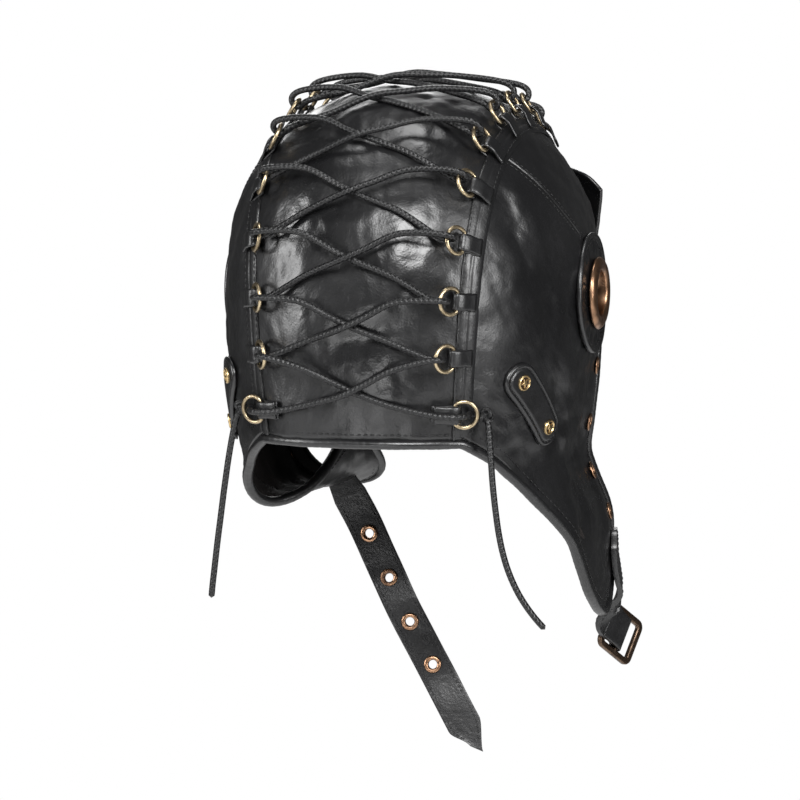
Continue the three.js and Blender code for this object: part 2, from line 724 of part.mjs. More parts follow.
// The last turn: over the loop, down through the ring and out under its bow
function lastTurn(side) {
  const f = ringFrame(side, 0);
  const at = (x, z) => local(f, x, 0, z);
  const bar = BAR_HEIGHT + LOOP_WALL + WIRE_HOLE + LACE / 2 + CLEAR;
  return [
    at(BAR_AT - LOOP_LENGTH + 1, bar * 0.62), at(BAR_AT - 5, bar + 0.4), at(BAR_AT + 0.6, bar + 0.7),
    at(BAR_AT + 5.6, BOW_LIFT - 0.5), at(BOW_AT - 2.6, BOW_LIFT - TURN * 0.93),
    at(BOW_AT + 2, BOW_LIFT - TURN - 0.2),
  ];
}
for (const { name, side } of [{ name: 'a', side: 1 }, { name: 'b', side: -1 }]) {
  const points = [];
  let from = side;
  for (let k = RINGS - 1; k > 0; k -= 1) {
    points.push(...turnRound(from, k));
    points.push(...stretch(from, k, (k % 2 === 0) === (side > 0)));
    from = -from;
  }
  points.push(...lastTurn(from));
  add(`lace_strand_${name}`, cord(points, LACE, 6), LACE_LOOK);
}

// Free lace ends, from just past the lowest rings down to their cut ends. Routes by hand.
const LACE_ENDS = {
  left: [
    [0, 0, 0.0], [2.6, 0.8, -2.8], [4.3, 1.2, -8.1], [5.6, 1.4, -14.0], [6.8, 1.5, -20.5],
    [7.9, 1.5, -27.0], [8.9, 1.4, -33.5], [9.9, 1.3, -40.0], [10.8, 1.2, -46.4], [11.7, 1.1, -52.9],
    [12.6, 1.1, -59.4], [13.5, 1.0, -65.9], [14.3, 1.0, -72.4], [15.1, 0.9, -78.8], [15.9, 0.9, -85.3],
    [16.6, 0.8, -91.8],
  ],
  right: [
    [0, 0, 0.0], [-2.2, 1.2, -3.2], [-3.3, 1.7, -9.2], [-3.9, 1.9, -16.7], [-4.4, 2, -24.1],
    [-5.0, 2, -32.2], [-5.8, 1.9, -40.2], [-6.8, 1.8, -48.3], [-8.0, 1.7, -56.3], [-9.7, 1.6, -64.4],
    [-11.9, 1.5, -71.9], [-14.7, 1.4, -78.8], [-18.0, 1.3, -85.1], [-21.8, 1.2, -90.8],
    [-26.0, 1.1, -96.0], [-30.4, 1.0, -100.6],
  ],
};
for (const { name, side } of SIDES) {
  const last = lastTurn(side);
  const [end, before] = [last[last.length - 1], last[last.length - 2]];
  const onward = end.clone().sub(before).normalize();
  const start = end.clone().addScaledVector(onward, CLEAR);
  const next = start.clone().addScaledVector(onward, LACE * 0.7);
  const points = [start, ...LACE_ENDS[name].map((p) => new THREE.Vector3(...p).add(next))];
  add(`lace_end_${name}`, cord(points, LACE), LACE_LOOK);
}

// Ear patches, rings, rivet tabs, rivets and front-edge eyelets
function turned(profile, segments) {
  const points = profile.map(([r, z]) => new THREE.Vector2(r, z));
  if (profile[0][0] > 0) points.push(points[0].clone());
  return clean(new THREE.LatheGeometry(points, segments).rotateX(Math.PI / 2));
}
function seated(geometry, f) {
  const m = new THREE.Matrix4().makeBasis(f.back, f.up, f.out).setPosition(f.p);
  return faceOut(clean(geometry).applyMatrix4(m));
}
const PATCH_HOLE = EAR_HOLE_RADIUS + EAR_BARREL_WALL + CLEAR;
const patchTop = CLEAR + PATCH_THICKNESS;
const patchProfile = [
  [PATCH_HOLE, CLEAR], [PATCH_RADIUS - PIPING, CLEAR], [PATCH_RADIUS, CLEAR + PIPING * 0.7],
  [PATCH_RADIUS - PIPING * 0.7, patchTop + PIPING * 0.8], [PATCH_RADIUS - PIPING * 2, patchTop],
  [PATCH_HOLE, patchTop],
];
const ringBase = patchTop + CLEAR;
const earRingProfile = [
  [EAR_HOLE_RADIUS, -LEATHER - 1.2], [EAR_HOLE_RADIUS + EAR_BARREL_WALL, -LEATHER - 1.2],
  [EAR_HOLE_RADIUS + EAR_BARREL_WALL, ringBase], [EAR_RING_RADIUS, ringBase],
  [EAR_RING_RADIUS, ringBase + EAR_RING_HEIGHT * 0.45],
  [EAR_RING_RADIUS - 2, ringBase + EAR_RING_HEIGHT],
  [EAR_HOLE_RADIUS + 1.6, ringBase + EAR_RING_HEIGHT],
  [EAR_HOLE_RADIUS, ringBase + EAR_RING_HEIGHT * 0.6],
];
const EYELET_LIFT = 0.8;
const eyeletProfile = (base, depth) => [
  [EYELET_HOLE, -depth], [EYELET_HOLE + EYELET_WALL, -depth], [EYELET_HOLE + EYELET_WALL, base],
  [EYELET_RADIUS, base], [EYELET_HOLE + EYELET_WALL, base + 1.1],
];

function stadium(length, width, thick, base, n) {
  return mapped(new THREE.BoxGeometry(1, 1, 1, n, 2, 1), (a, b, c) => {
    const x = (length / 2) * Math.sin(Math.PI * a);
    const past = Math.max(Math.abs(x) - (length - width) / 2, 0);
    const half = Math.sqrt(Math.max((width / 2) ** 2 - past ** 2, 0));
    return new THREE.Vector3(x, 2 * b * half, base + (c + 0.5) * thick);
  });
}
const tabTop = CLEAR * 2 + PATCH_THICKNESS;
function rivet() {
  const base = tabTop + CLEAR;
  const top = base + RIVET_HEIGHT;
  const head = turned([[0, base], [RIVET_RADIUS, base], [RIVET_RADIUS, base + 0.7],
    [RIVET_RADIUS - 0.8, top], [0, top]], 8);
  const star = new THREE.Shape(Array.from({ length: 10 }, (_, i) => {
    const r = (i % 2 ? 0.42 : 1) * (RIVET_RADIUS - 1.1);
    return new THREE.Vector2(r * Math.sin(i * Math.PI / 5), r * Math.cos(i * Math.PI / 5));
  }));
  const raisedStar = new THREE.ExtrudeGeometry(star, { depth: 0.8, bevelEnabled: false });
  return fromSolid(solid(head).add(solid(raisedStar.translate(0, 0, top - 0.4))));
}
for (const { name, side } of SIDES) {
  add(`ear_patch_${name}`, wrapped(turned(patchProfile, 16), side, EAR_BACK, EAR_DROP), LEATHER_LOOK);
  const earFrame = sideFrame(side, EAR_BACK, EAR_DROP);
  add(`ear_ring_${name}`, seated(turned(earRingProfile, 16), earFrame), COPPER_LOOK);
  const [c, s] = [Math.cos(TAB_TURN), Math.sin(TAB_TURN)];
  const tab = stadium(TAB_LENGTH, TAB_WIDTH, PATCH_THICKNESS, CLEAR * 2, 10);
  add(`rivet_tab_${name}`, mapped(tab, (a, b, z) => raised(
    sideFrame(side, TAB_BACK + a * c - b * s, TAB_DROP - a * s - b * c), z)), LEATHER_LOOK);
  for (const [n, way] of [[1, 0.5], [2, -0.5]]) {
    const f = sideFrame(side, TAB_BACK + way * RIVET_SPACING * c, TAB_DROP - way * RIVET_SPACING * s);
    add(`rivet_${name}_${n}`, seated(rivet(), f), BRASS_LOOK);
  }
  eyeletPlaces.forEach((q, i) => {
    const g = turned(eyeletProfile(EYELET_LIFT, LEATHER + 0.6), 7);
    add(`eyelet_${name}_${i + 1}`, seated(g, sideFrame(side, q.x, q.y)), COPPER_LOOK);
  });
}

// Brow flap, turned up over the front
add('brow_flap', sheet(12, 3, (u, v) => {
  const b = u * 2 - 1;
  const x = b * PEAK_HALF_WIDTH;
  const round = 1 - 0.3 * b ** 8;
  const drop = BROW_DROP + 1 - PEAK_HEIGHT * v * round;
  const p = new THREE.Vector3(x, reachAt(x, drop, false), LEATHER - drop);
  return p.addScaledVector(formNormal(p), LEATHER + 2.4 + PEAK_LIFT * v * (1 + b ** 4));
}, LEATHER), LEATHER_LOOK);

// Straps: a ribbon along rows of a place and the way its outer face looks
function ribbon(rows, steps, width, thick) {
  const line = new THREE.CatmullRomCurve3(rows.map((r) => r.p), false, 'centripetal');
  const face = new THREE.CatmullRomCurve3(rows.map((r) => r.out.clone()), false, 'centripetal');
  const rowAt = (t) => {
    const at = line.getUtoTmapping(t);
    const p = line.getPoint(at);
    const along = line.getTangent(at);
    const wide = new THREE.Vector3().crossVectors(along, face.getPoint(at)).normalize();
    return { p, along, wide, out: new THREE.Vector3().crossVectors(wide, along).normalize() };
  };
  const geometry = mapped(new THREE.BoxGeometry(1, 1, 1, steps, 2, 1), (a, b, c) => {
    const r = rowAt(a + 0.5);
    const edge = width(a + 0.5, b);
    return r.p.clone().addScaledVector(r.wide, edge.across).addScaledVector(r.along, edge.on)
      .addScaledVector(r.out, c * thick);
  });
  return { geometry, rowAt, length: line.getLength() };
}
const point = (x, y, z) => new THREE.Vector3(x, y, z);
const onFlap = (side, y, drop, lift) => {
  const f = sideFrame(side, y, drop);
  return { p: raised(f, lift), out: f.out };
};
const STRAP_LIFT = CLEAR * 2 + STRAP_THICKNESS / 2;

// Chin strap: from the front of the left flap down to its pointed end
const CHIN_ROWS = [
  onFlap(1, -45, 214, STRAP_LIFT),
  onFlap(1, -46, 219, STRAP_LIFT),
  onFlap(1, -47, 224, STRAP_LIFT),
  { p: point(44, -48, -212), out: point(0.3, 0.75, -0.5) },
  { p: point(40, -49, -219), out: point(-0.2, 0.95, 0) },
  { p: point(30, -49, -240), out: point(-0.22, 0.96, 0.03) },
  { p: point(18.5, -47, -262), out: point(-0.3, 0.95, -0.05) },
  { p: point(7.5, -49, -283), out: point(-0.32, 0.94, -0.08) },
  { p: point(-17, -46, -325.5), out: point(-0.28, 0.95, 0.05) },
];
const CHIN_POINT = 11;
const LAST_EYELET = 44;
const chin = ribbon(CHIN_ROWS, 18, (t, b) => {
  const root = Math.min(1, 0.35 + t * 9);
  const end = smooth((t - 0.93) / 0.07);
  const narrow = lerp(1, 0.25, end);
  return { across: STRAP_WIDTH * b * root * narrow, on: end * CHIN_POINT * (0.3 - b * 0.5) };
}, STRAP_THICKNESS);
let chinBody = solid(chin.geometry);
const strapHoles = [0, 1, 2, 3].map((i) => (chin.length - LAST_EYELET - i * STRAP_EYELET_PITCH)
  / chin.length);
for (const t of strapHoles) {
  const r = chin.rowAt(t);
  const m = new THREE.Matrix4().makeBasis(r.wide, r.along.clone().negate(), r.out).setPosition(r.p);
  const wide = EYELET_HOLE + EYELET_WALL + CLEAR * 2;
  const punch = new THREE.CylinderGeometry(wide, wide, 12, 8).rotateX(Math.PI / 2);
  chinBody = chinBody.subtract(solid(punch.applyMatrix4(m)));
}
add('chin_strap', fromSolid(chinBody), LEATHER_LOOK);
strapHoles.forEach((t, i) => {
  const r = chin.rowAt(t);
  const m = new THREE.Matrix4().makeBasis(r.wide, r.along.clone().negate(), r.out).setPosition(r.p);
  const g = turned(eyeletProfile(STRAP_THICKNESS / 2 + CLEAR * 2, STRAP_THICKNESS / 2 + 0.6), 7);
  add(`strap_eyelet_${4 - i}`, faceOut(g.applyMatrix4(m)), COPPER_LOOK);
});

// Buckle: a frame that swings on its middle bar in the fold of the buckle strap.
// bars is the way its three bars run, fall the way from the free side to the flap side.
const BUCKLE_AT = point(-85, -72, -271.5);
const bars = point(0.21, 0.51, -0.83).normalize();
const rise = point(0.40, 0.73, 0.55);
rise.addScaledVector(bars, -rise.dot(bars)).normalize();
const shown = new THREE.Vector3().crossVectors(rise, bars).normalize();
const BAR_THICKNESS = 2.6;
const MIDDLE_BAR = 1.4;
const inBuckle = (x, y, z) => BUCKLE_AT.clone().addScaledVector(rise, x)
  .addScaledVector(bars, y).addScaledVector(shown, z);

function buckleFrame() {
  const corner = 2.6;
  const [hx, hy] = [(BUCKLE_LENGTH - BUCKLE_BAR) / 2, (BUCKLE_WIDTH - BUCKLE_BAR) / 2];
  const centres = [[hx, hy], [-hx, hy], [-hx, -hy], [hx, -hy]];
  const run = centres.flatMap(([x, y], i) => [0.12, 0.5, 0.88].map((part) => {
    const a = (i + part) * Math.PI / 2;
    const [c, s] = [Math.cos(a), Math.sin(a)];
    const px = x - Math.sign(x) * corner + corner * c;
    const py = y - Math.sign(y) * corner + corner * s;
    return { px, py, c, s };
  }));
  const frame = loop(6, run.length, (t) => {
    const r = run[Math.round(t * run.length) % run.length];
    return {
      p: inBuckle(r.px, r.py, 0),
      a: rise.clone().multiplyScalar(r.c * BUCKLE_BAR / 2).addScaledVector(bars, r.s * BUCKLE_BAR / 2),
      b: shown.clone().multiplyScalar(BAR_THICKNESS / 2),
    };
  });
  const bar = new THREE.CylinderGeometry(MIDDLE_BAR, MIDDLE_BAR, BUCKLE_WIDTH - BUCKLE_BAR, 10);
  const m = new THREE.Matrix4().makeBasis(rise, bars, shown.clone().negate()).setPosition(BUCKLE_AT);
  return fromSolid(solid(frame).add(solid(bar.applyMatrix4(m))));
}
add('buckle_frame', buckleFrame(), BRONZE_LOOK);

// Buckle strap: stitched to the right flap, twisting down to its fold round the middle bar
const FOLD_WALL = 1.5;
const FOLD_HOLE = MIDDLE_BAR + CLEAR;
const FOLD_TAIL = BUCKLE_LENGTH / 2 + 1;
const tailLow = BAR_THICKNESS / 2 + CLEAR;
const fold = new THREE.Shape();
const foldRound = (radius, from, to, sides) => Array.from({ length: sides + 1 }, (_, i) => {
  const a = lerp(from, to, i / sides);
  return new THREE.Vector2(radius * Math.cos(a), radius * Math.sin(a));
});
fold.setFromPoints([
  ...foldRound(FOLD_HOLE + FOLD_WALL, Math.PI * 0.55, Math.PI * 1.75, 7),
  new THREE.Vector2(BUCKLE_LENGTH * 0.27, tailLow),
  new THREE.Vector2(FOLD_TAIL, tailLow),
  new THREE.Vector2(FOLD_TAIL, tailLow + 2 * FOLD_WALL),
  new THREE.Vector2(BUCKLE_LENGTH * 0.27, tailLow + 2 * FOLD_WALL),
]);
fold.holes.push(new THREE.Path(
  foldRound(FOLD_HOLE / Math.cos(Math.PI / 10), 0, 2 * Math.PI, 10).slice(0, 10)));
const FOLD_WIDTH = BUCKLE_WIDTH - 2 * BUCKLE_BAR - 2 * CLEAR;
const foldGeometry = new THREE.ExtrudeGeometry(fold, { depth: FOLD_WIDTH, bevelEnabled: false })
  .translate(0, 0, -FOLD_WIDTH / 2);
const foldBasis = new THREE.Matrix4().makeBasis(rise, shown, bars.clone().multiplyScalar(
  new THREE.Vector3().crossVectors(rise, shown).dot(bars))).setPosition(BUCKLE_AT);
const tailMiddle = tailLow + FOLD_WALL;
const EDGE_LIFT = BINDING_THICKNESS / 2 - LEATHER / 2 + CLEAR + STRAP_THICKNESS / 2 + 0.2;
const BUCKLE_ROWS = [
  { p: inBuckle(FOLD_TAIL - 4, 0, tailMiddle), out: shown },
  { p: inBuckle(FOLD_TAIL + 1, 0, tailMiddle + 0.2), out: shown },
  onFlap(-1, -54, 249, EDGE_LIFT + 1),
  onFlap(-1, -51, 241, EDGE_LIFT),
  onFlap(-1, -48, 233, STRAP_LIFT + 0.4),
  onFlap(-1, -45, 218, STRAP_LIFT),
];
const buckleRibbon = ribbon(BUCKLE_ROWS, 12, (t, b) => {
  const end = 1 - 0.72 * smooth((t - 0.84) / 0.16);
  return { across: Math.min(FOLD_WIDTH, STRAP_WIDTH) * b * end, on: 0 };
}, 2 * FOLD_WALL - 0.4);
add('buckle_strap', fromSolid(solid(clean(foldGeometry).applyMatrix4(foldBasis))
  .add(solid(buckleRibbon.geometry))), LEATHER_LOOK);

export default hat;
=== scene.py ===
"""A black leather aviator hat with a laced back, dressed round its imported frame."""
import math

import bmesh
import bpy
import numpy as np
from bpy.props import FloatProperty, FloatVectorProperty, IntProperty, PointerProperty
from mathutils import Matrix, Vector, noise


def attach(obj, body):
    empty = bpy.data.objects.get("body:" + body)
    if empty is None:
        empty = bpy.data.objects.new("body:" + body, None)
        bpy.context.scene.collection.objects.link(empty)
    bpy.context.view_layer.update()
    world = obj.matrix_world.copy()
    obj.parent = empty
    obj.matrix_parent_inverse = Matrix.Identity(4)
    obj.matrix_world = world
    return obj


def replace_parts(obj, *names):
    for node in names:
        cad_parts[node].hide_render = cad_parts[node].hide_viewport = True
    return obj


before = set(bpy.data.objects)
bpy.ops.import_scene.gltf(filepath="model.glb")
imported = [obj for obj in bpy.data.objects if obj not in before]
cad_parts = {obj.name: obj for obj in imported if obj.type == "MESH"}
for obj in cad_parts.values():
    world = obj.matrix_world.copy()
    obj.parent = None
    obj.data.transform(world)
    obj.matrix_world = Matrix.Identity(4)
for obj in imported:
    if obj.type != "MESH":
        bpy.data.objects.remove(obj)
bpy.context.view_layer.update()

bl_info = {
    "name": "Leather aviator hat",
    "version": (1, 0, 0),
    "blender": (4, 5, 0),
    "location": "3D View > Sidebar > Hat",
    "description": "Builds a laced leather aviator hat with its rings, straps and buckle",
    "category": "Object",
}

MM = 0.001
SIDES = (("left", 1), ("right", -1))

# What the camera takes in: its shift right and up from the origin, and its width, in millimetres
VIEW_RIGHT, VIEW_UP, VIEW_SPAN = -6.8, -150.8, 386.5
SENSOR = 36

# Name, place and size in metres, and power in watts
LIGHTS = (("key", (-0.45, 1.7, 1.0), (0.9, 0.7), 62.0),
          ("side_fill", (-1.7, 0.9, 0.35), (0.4, 1.2), 40.0),
          ("left_fill", (1.6, 1.1, 0.3), (0.4, 1.2), 34.0),
          ("low_fill", (0.2, 2.0, -0.7), (0.9, 0.25), 7.0),
          ("front_fill", (0.7, -1.8, 0.7), (1.0, 0.8), 12.0),
          ("top", (0.1, 0.0, 1.7), (0.7, 0.7), 17.0))
LIGHTS_AIM = Vector((0, 0, -0.14))
WORLD_LIGHT = 0.07
GROUND_HEIGHT, GROUND_HALF = -0.95, 2

# Leather and head form, in millimetres, as in the solids
LEATHER = 2.0
CLEAR = 0.3
HALF_WIDTH, NAPE_HALF_WIDTH = 88.0, 79.0
FRONT_REACH, JAW_REACH = 100.0, 122.0
BACK_REACH, NAPE_REACH = 105.0, 96.0
CROWN_HEIGHT, NAPE_DROP, NECK_MORE = 100.0, 166.0, 14.0
BROW_DROP, FLAP_DROP = 82.0, 256.0
SECTION_POWER, DOME_POWER = 2.25, 2.2
SEAM_BROW, SEAM_CROWN, SEAM_NAPE = 50.0, 57.0, 49.0
FLARE, FLARE_DROP = 12.0, 172.0
SWING, SWING_DROP, SWING_BACK = 0.06, 128.0, 10.0
SEAM_HOLD = 25.0
ROLL_DROP, ROLL_RADIUS, ROLL_NARROWING = 179.0, 22.0, 0.86
EAR_BACK, EAR_DROP = -7.0, 100.0
BINDING_WIDTH, BINDING_THICKNESS, EDGE_GAP = 4.8, 5.2, 0.95
EDGE_INSET = BINDING_WIDTH / 2 + EDGE_GAP
PANEL_INSET, SEAM_OVERLAP = 1.2, 0.1

# Trim
WELT_WIDTH, WELT_THICKNESS, WELT_SEWN = 8.0, 1.3, 2.9
LOOP_WIDTH, LOOP_LENGTH, LOOP_WALL = 8.0, 11.0, 1.2
RINGS, RING_PITCH, FIRST_RING, TURNED_RING_IN = 10, 26.0, 12.0, 5.0
RING_SIZE, RING_WIRE, BOW_LIFT = 14.5, 2.0, 6.2
LACE, LACE_SLACK, LACE_PLAY, HITCH = 3.0, 4.0, 0.3, 1.05
EYELET_RADIUS, EYELET_HOLE, EYELET_WALL, EYELET_EDGE = 4.4, 2.2, 0.5, 12.0
EYELET_ROWS, EYELET_PROUD = (3.9, 4.95, 5.9, 6.8), 0.6
EAR_HOLE, EAR_RING, EAR_RING_HEIGHT, EAR_BARREL_WALL = 11.0, 17.5, 3.4, 1.4
PATCH_RADIUS, PATCH_THICKNESS, PIPING = 29.0, 1.5, 1.6
TAB_LENGTH, TAB_WIDTH, TAB_BACK, TAB_DROP, TAB_TURN = 50.0, 17.0, 53.0, 149.0, 0.81
TAB_SEWN, TAB_HEIGHT = 2.2, PATCH_THICKNESS + CLEAR * 2
RIVET_SPACING, RIVET_RADIUS, RIVET_HEIGHT = 31.0, 3.8, 1.9
PEAK_HEIGHT, PEAK_HALF_WIDTH, PEAK_LIFT = 37.0, 68.0, 3.5
STRAP_WIDTH, STRAP_THICKNESS = 17.0, 2.4
STRAP_EYELETS, STRAP_EYELET_PITCH, LAST_EYELET, CHIN_POINT = 4, 24.2, 44.0, 11.0
BUCKLE_AT = np.array([-85.0, -72.0, -271.5])
BUCKLE_LENGTH, BUCKLE_WIDTH, BUCKLE_BAR = 26.0, 24.5, 3.4
BAR_THICKNESS, MIDDLE_BAR, FOLD_WALL = 2.6, 1.4, 1.5

FRONT_EDGE = ((0.72, 0.035), (0.57, 0.110), (0.455, 0.210), (0.385, 0.340), (0.385, 0.470),
              (0.450, 0.600), (0.560, 0.725), (0.620, 0.850), (0.500, 0.935), (0.230, 1.000))
REAR_EDGE = ((0.070, 0.850), (0.320, 0.500), (0.550, 0.200))


# Small maths on arrays
def smooth(t):
    c = np.clip(t, 0.0, 1.0)
    return c * c * (3 - 2 * c)


def lerp(a, b, t):
    return a + (b - a) * t


def unit(v):
    return v / np.maximum(np.linalg.norm(v, axis=-1, keepdims=True), 1e-9)


def stack(x, y, z):
    return np.stack(np.broadcast_arrays(x, y, z), axis=-1).astype(float)


def power(share, n):
    return (1 - np.clip(share, 0, 1) ** n) ** (1 / n)


# Head form: half-width and reach at a fall below the crown top
def section(drop):
    dome = power(1 - np.minimum(drop, CROWN_HEIGHT) / CROWN_HEIGHT, DOME_POWER)
    neck = np.clip((drop - CROWN_HEIGHT) / (NAPE_DROP + NECK_MORE - CROWN_HEIGHT), 0, 1) ** 2
    return (dome * lerp(HALF_WIDTH, NAPE_HALF_WIDTH, neck),
            dome * lerp(BACK_REACH, NAPE_REACH, neck),
            dome * lerp(FRONT_REACH, JAW_REACH, neck))


def side_at(y, drop):
    half, back, front = section(drop)
    return half * power(np.abs(y) / np.where(y > 0, back, front), SECTION_POWER)


def reach_at(x, drop, behind):
    half, back, front = section(drop)
    share = power(np.abs(x) / half, SECTION_POWER)
    return back * share if behind else -front * share


def outside(x, y, drop):
    half, back, front = section(np.maximum(drop, 1e-6))
    level = ((np.abs(x) / half) ** SECTION_POWER
             + (np.abs(y) / np.where(y > 0, back, front)) ** SECTION_POWER - 1)
    return np.where(drop <= 0, 1.0, level)


PAST_FORM, HALVINGS = 200.0, 40


def crown_point(x, turn, lift=0.0):
    """Where a ray from the ear axis, turned from straight up, meets the form."""
    x, turn, lift = np.broadcast_arrays(np.asarray(x, float), turn, lift)
    low, high = np.zeros_like(x), np.full_like(x, PAST_FORM)
    for _ in range(HALVINGS):
        mid = (low + high) / 2
        inner = outside(x, EAR_BACK + mid * np.sin(turn), EAR_DROP - mid * np.cos(turn)) < 0
        low, high = np.where(inner, mid, low), np.where(inner, high, mid)
    reach = low + lift
    return stack(x, EAR_BACK + reach * np.sin(turn), LEATHER - EAR_DROP + reach * np.cos(turn))


def turn_to(y, drop):
    return np.arctan2(y - EAR_BACK, EAR_DROP - drop)


def seam_half(u):
    bow = SEAM_CROWN - (SEAM_BROW + SEAM_NAPE) / 2
    return lerp(SEAM_BROW, SEAM_NAPE, u) + 4 * u * (1 - u) * bow


def crown_turn(x, u, inset=EDGE_INSET):
    return lerp(turn_to(reach_at(x, BROW_DROP - inset, False), BROW_DROP - inset),
                turn_to(reach_at(x, NAPE_DROP - inset, True), NAPE_DROP - inset), u)


def on_crown(u, v, lift=0.0, gap=0.0):
    x = v * (seam_half(u) - gap)
    return crown_point(x, crown_turn(x, u), lift)


def form_normal(p):
    h = 0.05
    n = [outside(p[..., 0] + a, p[..., 1] + b, LEATHER - p[..., 2] - c)
         - outside(p[..., 0] - a, p[..., 1] - b, LEATHER - p[..., 2] + c)
         for a, b, c in ((h, 0, 0), (0, h, 0), (0, 0, h))]
    return unit(np.stack(n, axis=-1))


def on_side(side, y, drop):
    """A place on a side's outer face, laid flat at y and drop; side 1 is the wearer's left."""
    y, drop = np.broadcast_arrays(np.asarray(y, float), np.asarray(drop, float))
    hold = smooth((SEAM_NAPE + SEAM_HOLD - y) / SEAM_NAPE)
    if side > 0:
        swing = SWING * smooth((drop - SWING_DROP) / (NAPE_DROP - SWING_DROP)) * hold
        dy, dz = y - SWING_BACK, drop - SWING_DROP
        yy = SWING_BACK + dy * np.cos(swing) - dz * np.sin(swing)
        dd = SWING_DROP + dz * np.cos(swing) + dy * np.sin(swing)
        roll = np.maximum(hold, 1e-4) / ROLL_RADIUS
        angle = np.maximum(dd - ROLL_DROP, 0) * roll
        x = side_at(yy, dd) - ROLL_NARROWING * (1 - np.cos(angle)) / roll
        dd = np.where(dd > ROLL_DROP, ROLL_DROP + np.sin(angle) / roll, dd)
    else:
        yy, dd = y, drop
        x = side_at(yy, dd) + hold * FLARE * smooth(
            (drop - FLARE_DROP) / (FLAP_DROP - NAPE_DROP) * 2)
    return stack(side * x, yy, LEATHER - dd)


def side_frame(side, y, drop):
    """(point, back, up, out) on a side."""
    step = 0.5
    p = on_side(side, y, drop)
    back = unit(on_side(side, y + step, drop) - on_side(side, y - step, drop))
    up = unit(on_side(side, y, drop - step) - on_side(side, y, drop + step))
    return p, back, up, unit(np.cross(back, up) * side)


def raised(f, lift):
    return f[0] + f[3] * np.asarray(lift)[..., None]


def local(f, x, y, z):
    """Places in a frame (point, x way, y way, z way), for numbers or rows of them."""
    return sum((np.multiply.outer(at, way) for at, way in zip((x, y, z), f[1:])), f[0])


def spline(points, t):
    """A uniform Catmull-Rom curve through points, with t running from 0 to 1."""
    points = np.asarray(points, float)
    s = np.clip(np.asarray(t, float), 0, 1) * (len(points) - 1)
    i = np.minimum(s.astype(int), len(points) - 2)
    w = (s - i)[..., None]
    at = lambda k: points[np.clip(k, 0, len(points) - 1)]
    p0, p1, p2, p3 = at(i - 1), at(i), at(i + 1), at(i + 2)
    v0, v1 = (p2 - p0) * 0.5, (p3 - p1) * 0.5
    return ((2 * p1 - 2 * p2 + v0 + v1) * w ** 3 + (-3 * p1 + 3 * p2 - 2 * v0 - v1) * w ** 2
            + v0 * w + p1)


def steps_of(p):
    return np.linalg.norm(np.diff(p, axis=0), axis=1)


def run_along(p):
    """How far along a line each of its points lies."""
    return np.concatenate([[0], np.cumsum(steps_of(p))])


def read_at(rows, run, at):
    """Rows read, between neighbours, at a run along them."""
    return np.stack([np.interp(at, run, rows[:, k]) for k in range(rows.shape[1])], axis=-1)


def even(points, count):
    """The same line with its points evenly spaced."""
    points = np.asarray(points, float)
    run = run_along(points)
    return read_at(points, run, np.linspace(0, run[-1], count))


# Edge of a side, laid flat
EDGE_POINTS = np.array(
    [(float(reach_at(SEAM_BROW, BROW_DROP, False)), BROW_DROP)]
    + [(-ahead * FRONT_REACH, lerp(BROW_DROP, FLAP_DROP, fall)) for ahead, fall in FRONT_EDGE]
    + [(behind * BACK_REACH, lerp(NAPE_DROP, FLAP_DROP, fall)) for behind, fall in REAR_EDGE]
    + [(float(reach_at(SEAM_NAPE, NAPE_DROP, True)), NAPE_DROP)])
EDGE_LAST = len(EDGE_POINTS) - 1
TEMPLE_AT, EAR_FRONT_AT = 1 / EDGE_LAST, 3 / EDGE_LAST
TIP_AT = len(FRONT_EDGE) / EDGE_LAST


def beside(points, t, step, shift):
    """A flat curve's places at t, moved square to it."""
    p = spline(points, t)
    d = unit(spline(points, np.minimum(t + step, 1)) - spline(points, np.maximum(t - step, 0)))
    return np.stack([p[..., 0] + d[..., 1] * shift, p[..., 1] - d[..., 0] * shift], axis=-1)


def edge_at(t, inset=0.0):
    return beside(EDGE_POINTS, np.asarray(t, float), 0.002, inset)


# Where a side seam meets the crown seam, and how far the panels go under the welt
SEAM_TOP, UNDER_WELT = 0.565, 0.5


def seam_point(u, gap):
    p = crown_point(seam_half(u) + gap, crown_turn(seam_half(u), u))
    return np.stack([p[..., 1], LEATHER - p[..., 2]], axis=-1)


def side_seam(v, shift=0.0):
    v = np.asarray(v, float)
    top = seam_point(np.float64(SEAM_TOP), CLEAR)
    points = [top, (lerp(EAR_BACK, top[0], 0.55), lerp(top[1], EAR_DROP, 0.4)),
              (EAR_BACK + 1, lerp(top[1], EAR_DROP, 0.75)), (EAR_BACK - 3, EAR_DROP),
              tuple(edge_at(EAR_FRONT_AT, EDGE_INSET))]
    return beside(points, v, 0.01, shift)


def coons(top, bottom, start, end):
    """A panel laid flat, blended between its four edges."""
    zero, one = np.array([0.0]), np.array([1.0])
    c = [top(zero), top(one), bottom(zero), bottom(one)]

    def pinned(edge, first, last):
        return lambda v: (edge(v) + (first - edge(zero)) * (1 - v[..., None]) ** 4
                          + (last - edge(one)) * v[..., None] ** 4)
    s, e = pinned(start, c[0], c[2]), pinned(end, c[1], c[3])

    def at(u, v):
        uu, vv = u[..., None], v[..., None]
        return (lerp(top(u), bottom(u), vv) + lerp(s(v), e(v), uu)
                - lerp(lerp(c[0], c[1], uu), lerp(c[2], c[3], uu), vv))
    return at


